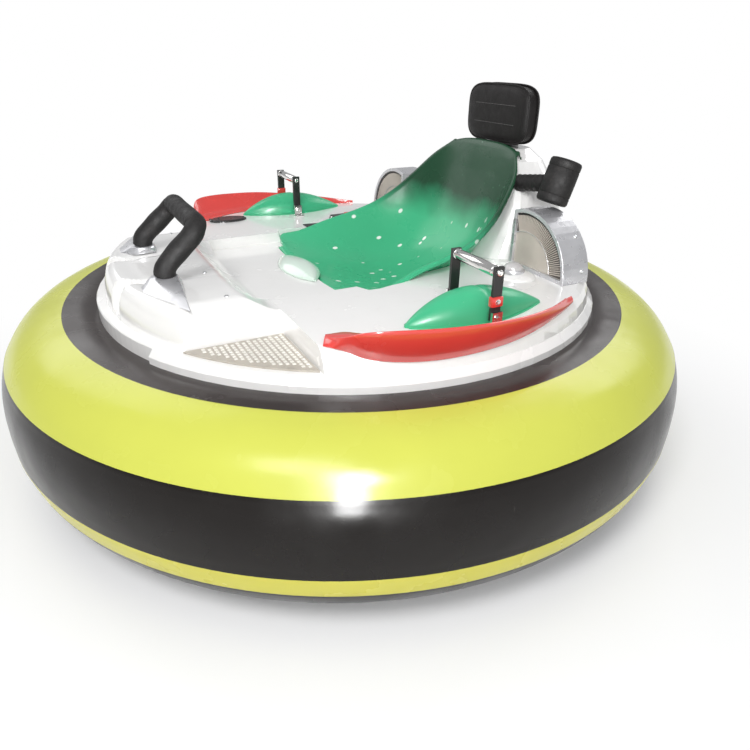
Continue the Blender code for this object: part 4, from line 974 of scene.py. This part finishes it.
def build_fans():
    """Louvred faces between two lips, over a dark ring of painted shade, and a moulded white hump in front of each."""
    for name, side in SIDES:
        low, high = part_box(f"{name}_fan_grille")
        floor_z = low.z + 0.001
        inner_x = min(abs(low.x), abs(high.x)) + 0.001

        def arc(radius, count, lift):
            """Points round the part of a circle that clears the floor and the cowl, lift in front of the face."""
            start = math.asin((floor_z - PLATEAU_Z) / radius)
            end = math.acos(max(-1.0, (inner_x - FAN_X) / radius))
            return [
                (side * (FAN_X + radius * math.cos(a)), low.y - lift, PLATEAU_Z + radius * math.sin(a))
                for a in np.linspace(start, end, count)
            ]

        bm = bmesh.new()
        for k in range(FINS):
            a = math.radians(1.0 + 128.0 * k / (FINS - 1))
            outward = Vector((math.cos(a), 0.0, math.sin(a)))
            half_width = Vector((-outward.z, 0.0, outward.x)) * 0.0017
            ends = [Vector((FAN_X, 0.0, PLATEAU_Z)) + outward * r for r in FIN_RADII]
            if min(p.x for p in ends) < inner_x or min(p.z for p in ends) < floor_z:
                continue
            section = [(half_width * s, y) for s, y in ((1.0, 0.0015), (0.5, -0.0030), (-0.5, -0.0030), (-1.0, 0.0015))]
            add_skin(bm, [[(side * (p + w).x, low.y + y, (p + w).z) for w, y in section] for p in ends])
        add_piece(f"{name}_fan_louvres", bm, "grille_grey", degrees=30.0)
        # The dark ring behind the louvres is painted shade: a shaded copy of the grille's grey, seen through the gaps.
        bm = bmesh.new()
        add_grid(bm, [arc(radius, 48, 0.0004) for radius in (0.099, 0.1455)])
        add_piece(f"{name}_fan_gaps", bm, "grille_grey", degrees=30.0, material=LOUVRE_SHADE)
        lips = (("inner", 0.1005, 0.0016, "silver_paint"), ("outer", 0.1465, 0.0022, "black_plastic"))
        for label, radius, thick, tone in lips:
            bm = bmesh.new()
            add_pipe(bm, arc(radius, 60, 0.0012), thick, 8)
            add_piece(f"{name}_fan_{label}_lip", bm, tone, degrees=60.0)
        rings = []
        for t in (i / 12 for i in range(12)):
            rx, ry = 0.060 * (1 - t**1.7), 0.052 * (1 - t**1.7)
            z = PLATEAU_Z - 0.001 + 0.018 * t**0.8
            rings.append([(side * (HUMP_X + rx * math.cos(a)), HUMP_Y + ry * math.sin(a), z) for a in circle(40)])
        bm = bmesh.new()
        add_skin(bm, rings)
        add_piece(f"{name}_lamp_hump", bm, "white_gelcoat", degrees=60.0)
        house_low, house_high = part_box(f"{name}_fan_housing")
        bm = bmesh.new()
        for rise in (0.030, 0.110):
            out = math.sqrt(FAN_RADIUS**2 - rise**2)
            outward = Vector((side * out, 0, rise)).normalized()
            spot = Vector((side * (FAN_X + out), (house_low.y + house_high.y) / 2 + 0.020, PLATEAU_Z + rise))
            add_screw(bm, spot - outward * 0.0008, outward, 0.0055)
        add_piece(f"{name}_fan_screws", bm, "zinc_plate")


# ---------------------------------------------------------------- levers


def build_levers():
    """Grips, clamp blocks and bolts on the lever frames, and the feet of their brackets."""
    for name, side in SIDES:
        body = f"{name}_lever"
        low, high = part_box(f"{name}_lever_frame")
        grip_low, grip_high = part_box(f"{name}_lever_grip")
        grip = (grip_low + grip_high) / 2
        y, pivot_z = grip.y, low.z + 0.008
        bore, radius, length = 0.0088, 0.0126, grip_high.x - grip_low.x
        half = [(bore, 0.0), (radius - 0.001, 0.0), (radius, 0.002)]
        half += [(radius, 0.0088), (radius - 0.0007, 0.010), (radius, 0.0112)]
        bm = bmesh.new()
        add_lathe(bm, half + flipped(half, length), 40, across((1, 0, 0), (grip_low.x, y, grip.z)))
        add_piece(f"{name}_lever_sleeve", bm, "chrome", f"{name}_lever_grip", body=body, degrees=35.0)
        outer_x, inner_x = (high.x, low.x) if side > 0 else (low.x, high.x)
        x0, x1 = sorted((outer_x - side * 0.0105, outer_x + side * 0.0035))
        bm = bmesh.new()
        add_box(bm, (x0, y - 0.0145, pivot_z + 0.024), (x1, y + 0.0145, pivot_z + 0.046))
        add_piece(f"{name}_lever_clamp", bm, "red_gelcoat", body=body)
        bm = bmesh.new()
        add_bolt(bm, (outer_x + side * 0.0035, y, pivot_z + 0.035), (side, 0, 0), 0.0045, 0.003)
        for x, outward in ((outer_x, side), (inner_x, -side)):
            add_screw(bm, (x - outward * 0.0002, y, grip.z), (outward, 0, 0), 0.0075)
        add_piece(f"{name}_lever_bolts", bm, "chrome", body=body)
        bm = bmesh.new()
        for place, outward in (("outer", side), ("inner", -side)):
            b_low, b_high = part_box(f"{name}_{place}_lever_bracket")
            face_x = b_high.x if outward > 0 else b_low.x
            add_bolt(bm, (face_x, y, pivot_z), (outward, 0, 0), 0.0060, 0.0035)
            x0, x1 = sorted((face_x - outward * 0.001, face_x + outward * 0.014))
            add_box(bm, (x0, y - 0.016, b_low.z - 0.001), (x1, y + 0.016, b_low.z + 0.0035), 0.0012)
            for ahead in (0.009, -0.009):
                add_screw(bm, (face_x + outward * 0.0085, y + ahead, b_low.z + 0.0033), (0, 0, 1), 0.003)
        add_piece(f"{name}_bracket_feet", bm, "chrome")


def build_covers():
    """Leaf-shaped green covers over the lever mechanism, with a slit across and a flange round each."""
    tip = 0.003
    for name, side in SIDES:
        low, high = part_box(f"{name}_lever_cover")
        centre_x, length = (low.x + high.x) / 2, high.y - low.y
        half_width, height = (high.x - low.x) / 2, high.z - low.z

        def swell(share):
            return max(0.0, math.sin(math.pi * share**0.92)) ** 0.9

        grid = []
        for s in np.linspace(0.0, 1.0, 61):
            half = side * (tip + (half_width - tip) * swell(s))
            tall = max(0.0, tip + (height - tip) * swell(s) - 0.0035 * bump(s - 0.52, 0.012))
            y = low.y + length * s
            turns = [math.pi * j / 32 for j in range(33)]
            grid.append([(centre_x + half * math.cos(a), y, low.z + tall * math.sin(a) ** 0.8) for a in turns])
        bm = bmesh.new()
        verts = add_grid(bm, grid)
        bm.faces.new(verts[0])
        bm.faces.new(list(reversed(verts[-1])))
        bm.faces.new([row[0] for row in verts] + [row[-1] for row in reversed(verts)])
        add_piece(f"{name}_cover_shell", bm, "green_gelcoat", f"{name}_lever_cover", degrees=50.0)
        edge = [(tip + (half_width - tip) * swell(s) + 0.004, low.y + length * s) for s in np.linspace(0.015, 0.985, 60)]
        loop = [(centre_x + out, y) for out, y in edge] + [(centre_x - out, y) for out, y in reversed(edge)]
        bm = bmesh.new()
        add_skin(bm, [[(x, y, low.z + lift) for x, y in loop] for lift in (-0.0005, 0.0022)])
        add_piece(f"{name}_cover_flange", bm, "green_gelcoat")


# ---------------------------------------------------------------- small fittings


def build_buckle():
    """The belt buckle with its button and a length of strap that lies ahead of it."""
    low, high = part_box("belt_buckle")
    centre = (low + high) / 2
    bm = bmesh.new()
    add_box(bm, low, (high.x, high.y, high.z - 0.001), 0.006, 4)
    add_piece("buckle_case", bm, "black_plastic", "belt_buckle", degrees=50.0)
    button_low = (low.x + 0.007, centre.y + 0.004, high.z - 0.006)
    bm = bmesh.new()
    add_box(bm, button_low, (high.x - 0.007, high.y - 0.006, high.z + 0.003), 0.003, 3)
    add_piece("buckle_button", bm, "red_gelcoat", degrees=50.0, material=BUTTON_RED)
    section = ((-0.019, 0), (0.019, 0), (0.019, -0.0016), (-0.019, -0.0016))
    rings = []
    for t in np.linspace(0.0, 1.0, 14):
        y = low.y + 0.006 - 0.105 * t
        z = low.z + 0.012 - 0.010 * smooth_step(t, 0.0, 0.5) + 0.0006 * math.sin(9 * t)
        rings.append([(centre.x + w, y, z + dz) for w, dz in section])
    bm = bmesh.new()
    add_skin(bm, rings)
    add_piece("buckle_strap", bm, "black_vinyl", material=BELT_WEB)


def build_fittings():
    """The charging socket's hinge, the marker lamps and the bolts of the headrest."""
    low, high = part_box("charging_socket")
    x, hinge_y = (low.x + high.x) / 2, low.y + 0.004
    bm = bmesh.new()
    hinge_high = (x + 0.012, hinge_y + 0.004, high.z + 0.002)
    add_box(bm, (x - 0.012, hinge_y - 0.004, high.z - 0.004), hinge_high, 0.0015)
    for y in (low.y + 0.030, high.y - 0.012):
        add_screw(bm, (x, y, high.z - 0.0004), (0, 0, 1), 0.004)
    add_piece("socket_flap_hinge", bm, "black_plastic")
    dome = [(0, 0.018), (0.0255, 0.018), (0.0255, 0.020), (0.0235, 0.027), (0.018, 0.033), (0.010, 0.036), (0, 0.037)]
    bezel = [(0.024, 0.012), (0.030, 0.012), (0.030, 0.018), (0.028, 0.0205), (0.0255, 0.021), (0.024, 0.021)]
    for name, _ in SIDES:
        low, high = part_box(f"{name}_marker_lamp")
        place = Matrix.Translation(((low.x + high.x) / 2, (low.y + high.y) / 2, low.z))
        bm = bmesh.new()
        add_lathe(bm, dome, 40, place)
        add_piece(f"{name}_lamp_dome", bm, "lamp_lens", f"{name}_marker_lamp", degrees=50.0)
        bm = bmesh.new()
        add_lathe(bm, bezel, 40, place)
        add_piece(f"{name}_lamp_bezel", bm, "silver_paint")
    low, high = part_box("headrest_bracket")
    bm = bmesh.new()
    for x in (-0.028, 0.028):
        for z in (low.z + 0.030, high.z - 0.016):
            add_bolt(bm, (x, high.y - 0.0002, z), (0, 1, 0), 0.006, 0.0045)
    add_piece("headrest_bolts", bm, "zinc_plate")


# ---------------------------------------------------------------- running gear


def build_wheels():
    """Treads and nuts of the drive wheels, and the fins, terminal boxes and bolts of their motors."""
    for name, side in SIDES:
        wheel = f"{name}_drive_wheel"
        low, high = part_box(f"{name}_drive_tyre")
        centre = (low + high) / 2
        radius, half, bore = (high.z - low.z) / 2, (high.x - low.x) / 2, 0.0624
        outline = [(bore, -half), (radius - 0.014, -half), (radius - 0.011, -half + 0.0015)]
        outline += [(radius - 0.004, -half + 0.006), (radius - 0.0008, -half + 0.011)]
        outline += [(radius, -0.0112), (radius - 0.004, -0.0102), (radius - 0.004, -0.0078), (radius, -0.0068)]
        outline += [(radius, -0.0022), (radius - 0.004, -0.0012)]
        bm = bmesh.new()
        add_lathe(bm, outline + flipped(outline), 96, across((1, 0, 0), centre))
        add_piece(f"{name}_wheel_tread", bm, "tyre_rubber", f"{name}_drive_tyre", body=wheel, degrees=30.0)
        bm = bmesh.new()
        for a in circle(5):
            spot = centre + Vector((side * 0.008, 0.042 * math.cos(a), 0.042 * math.sin(a)))
            add_bolt(bm, spot, (side, 0, 0), 0.0055)
        add_piece(f"{name}_wheel_nuts", bm, "zinc_plate", body=wheel)
        m_low, m_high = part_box(f"{name}_drive_motor")
        start = m_low.x if side > 0 else m_high.x
        fin = [(0.0470, 0), (0.0505, 0), (0.0505, 0.0022), (0.0470, 0.0022)]
        x0, x1 = sorted((start + side * 0.012, start + side * 0.050))
        bm = bmesh.new()
        for k in range(9):
            add_lathe(bm, fin, 56, across((1, 0, 0), (start + side * (0.020 + 0.0085 * k), 0, centre.z)))
        add_box(bm, (x0, -0.020, centre.z + 0.040), (x1, 0.020, centre.z + 0.0495), 0.003)
        add_piece(f"{name}_motor_fins", bm, "motor_paint", degrees=30.0)
        bm = bmesh.new()
        for a in circle(4, 0.5):
            spot = (start + side * 0.0002, 0.030 * math.cos(a), centre.z + 0.030 * math.sin(a))
            add_bolt(bm, spot, (-side, 0, 0), 0.004, 0.003)
        add_piece(f"{name}_motor_bolts", bm, "zinc_plate")


def build_casters():
    """Treads and cores of the caster wheels, the nuts on their forks and the bolts of their plates."""
    half = 0.013
    core = [(0.0047, -half - 0.003), (0.0100, -half - 0.003), (0.0115, -half + 0.003)]
    core += [(0.0215, -half + 0.004), (0.0243, -half + 0.001)]
    for end in ("front", "rear"):
        roller = f"{end}_caster_roller"
        low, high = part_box(f"{end}_caster_wheel")
        centre = (low + high) / 2
        radius = (high.z - low.z) / 2
        outline = [(0.0245, -half), (radius - 0.005, -half), (radius - 0.0015, -half + 0.003), (radius, -half + 0.007)]
        bm = bmesh.new()
        add_lathe(bm, outline + flipped(outline), 64, across((1, 0, 0), centre))
        add_piece(f"{end}_caster_tread", bm, "tyre_rubber", f"{end}_caster_wheel", body=roller)
        bm = bmesh.new()
        add_lathe(bm, core + flipped(core), 48, across((1, 0, 0), centre))
        add_piece(f"{end}_caster_core", bm, "silver_paint", body=roller, degrees=35.0)
        low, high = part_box(f"{end}_caster_plate")
        bm = bmesh.new()
        for x in (low.x + 0.008, high.x - 0.008):
            for y in (low.y + 0.008, high.y - 0.008):
                add_bolt(bm, (x, y, high.z - 0.0058), (0, 0, -1), 0.0042, 0.003)
        add_piece(f"{end}_caster_bolts", bm, "zinc_plate")
        bm = bmesh.new()
        for x, outward in zip((side.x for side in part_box(f"{end}_caster_fork")), (-1, 1)):
            if abs(x) > 0.03:
                x = outward * 0.022
            add_bolt(bm, (x, centre.y, centre.z), (outward, 0, 0), 0.0048, 0.003)
        add_piece(f"{end}_caster_axle_nuts", bm, "zinc_plate", body=f"{end}_caster_swivel")


def build_batteries():
    """Ribs and hold-down straps on the battery blocks, and the bolts under the chassis ring."""
    tray_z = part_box("battery_tray")[1].z
    for name, side in SIDES:
        low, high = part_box(f"{name}_battery")
        bm = bmesh.new()
        for z in (low.z + 0.030, high.z - 0.030):
            add_box(bm, (low.x - 0.0015, low.y - 0.0015, z), (high.x + 0.0015, high.y + 0.0015, z + 0.006), 0.0012)
        add_piece(f"{name}_battery_ribs", bm, "battery_case")
        outer = high.x if side > 0 else low.x
        x0, x1 = sorted((outer, outer + side * 0.003))
        strap_z = high.z + 0.0025
        bm = bmesh.new()
        for y0, y1 in ((-0.092, -0.068), (0.068, 0.092)):
            add_box(bm, (low.x - 0.003, y0, high.z - 0.0005), (high.x + 0.003, y1, strap_z), 0.001)
            add_box(bm, (x0, y0, tray_z), (x1, y1, strap_z), 0.001)
        add_piece(f"{name}_battery_straps", bm, "frame_steel")
    frame_low, frame_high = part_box("chassis_ring")
    radius = frame_high.x - 0.015
    bm = bmesh.new()
    for a in circle(16, 0.5):
        add_bolt(bm, (radius * math.cos(a), radius * math.sin(a), frame_low.z + 0.0003), (0, 0, -1))
    add_piece("chassis_bolts", bm, "zinc_plate")


def soften_cad_edges():
    """Small rounded edges on the sharp CAD pieces that stay in view."""
    for width, names in SOFTENED.items():
        for name in names:
            weld = NODES[name].modifiers.new("weld", "WELD")
            weld.merge_threshold = 0.00002
            add_bevel(NODES[name], width, 3, 38.0)


# ---------------------------------------------------------------- stage


def area_light(name, place, target, size, watts):
    data = bpy.data.lights.new(name, "AREA")
    data.shape = "RECTANGLE"
    data.size, data.size_y = size
    data.energy = watts
    light = bpy.data.objects.new(name, data)
    bpy.context.scene.collection.objects.link(light)
    light.location = place
    light.rotation_euler = (Vector(target) - Vector(place)).to_track_quat("-Z", "Y").to_euler()
    return light


def build_floor():
    """A pale floor that turns to plain white with distance."""
    bm = bmesh.new()
    bmesh.ops.create_grid(bm, x_segments=1, y_segments=1, size=14.0)
    floor = link_mesh("floor", bm)
    ground = Surface("floor", (0.97, 0.97, 0.97), 0.85, specular=0.1)
    distance = ground.node("ShaderNodeVectorMath", operation="LENGTH")
    ground.join(ground.place, distance.inputs[0])
    share = ground.map_range(distance.outputs["Value"], 0.9, 1.7)
    white = ground.node("ShaderNodeEmission", Color=(1.0, 1.0, 1.0, 1.0), Strength=1.0)
    blend = ground.node("ShaderNodeMixShader")
    for slot, output in zip(blend.inputs, (share, ground.shader.outputs[0], white.outputs[0])):
        ground.join(output, slot)
    ground.join(blend.outputs[0], ground.tree.nodes["Material Output"].inputs["Surface"])
    floor.data.materials.append(ground.done())


def build_stage():
    """A white studio: the camera sees a white sky, and pieces are lit by a dimmer one and by area lights."""
    build_floor()
    bpy.context.scene.view_settings.view_transform = "Standard"
    world = bpy.data.worlds.new("studio")
    bpy.context.scene.world = world
    world.use_nodes = True
    nodes, links = world.node_tree.nodes, world.node_tree.links
    background, seen = nodes["Background"], nodes.new("ShaderNodeBackground")
    background.inputs["Color"].default_value = (0.97, 0.98, 1.0, 1.0)
    background.inputs["Strength"].default_value = 0.44
    seen.inputs["Color"].default_value = (1.0, 1.0, 1.0, 1.0)
    rays, choice = nodes.new("ShaderNodeLightPath"), nodes.new("ShaderNodeMixShader")
    for slot, output in zip(choice.inputs, (rays.outputs["Is Camera Ray"], background.outputs[0], seen.outputs[0])):
        links.new(output, slot)
    links.new(choice.outputs[0], nodes["World Output"].inputs["Surface"])
    area_light("key", (1.9, -1.7, 2.9), (0.1, 0.0, 0.4), (1.0, 1.0), 52.0)
    area_light("flash", (2.45, -0.95, 1.75), (0.75, -0.35, 0.35), (0.34, 0.40), 20.0)
    strip = area_light("strip", (2.25, -1.05, 1.10), (0.84, -0.39, 0.60), (0.30, 1.9), 150.0)
    strip.visible_diffuse = False
    area_light("fill", (-2.4, -1.2, 2.4), (0.0, 0.0, 0.4), (2.0, 2.0), 26.0)
    area_light("back", (-0.6, 2.9, 2.3), (0.0, 0.0, 0.5), (2.2, 1.2), 30.0)


def build_camera():
    """The camera stands at the car's left front, a little above the seat."""
    place = Vector((1.617, -0.765, 1.052))
    target = Vector((0.4216, -0.1245, 0.350))
    roll = math.radians(0.85)
    data = bpy.data.cameras.new("camera")
    data.sensor_width = 36.0
    data.lens = 29.76
    camera = bpy.data.objects.new("camera", data)
    bpy.context.scene.collection.objects.link(camera)
    look = (target - place).to_track_quat("-Z", "Y").to_matrix().to_4x4()
    camera.matrix_world = Matrix.Translation(place) @ look @ Matrix.Rotation(roll, 4, "Z")
    bpy.context.scene.camera = camera


def main():
    dress_cad_nodes()
    build_ring()
    build_valve()
    build_rim_trim()
    build_console()
    build_fairings()
    build_grab_bar()
    build_tread_plates()
    build_seat()
    build_guards()
    build_pommel()
    build_headrest()
    build_roll()
    build_fans()
    build_levers()
    build_covers()
    build_buckle()
    build_fittings()
    build_wheels()
    build_casters()
    build_batteries()
    soften_cad_edges()
    build_stage()
    build_camera()


main()
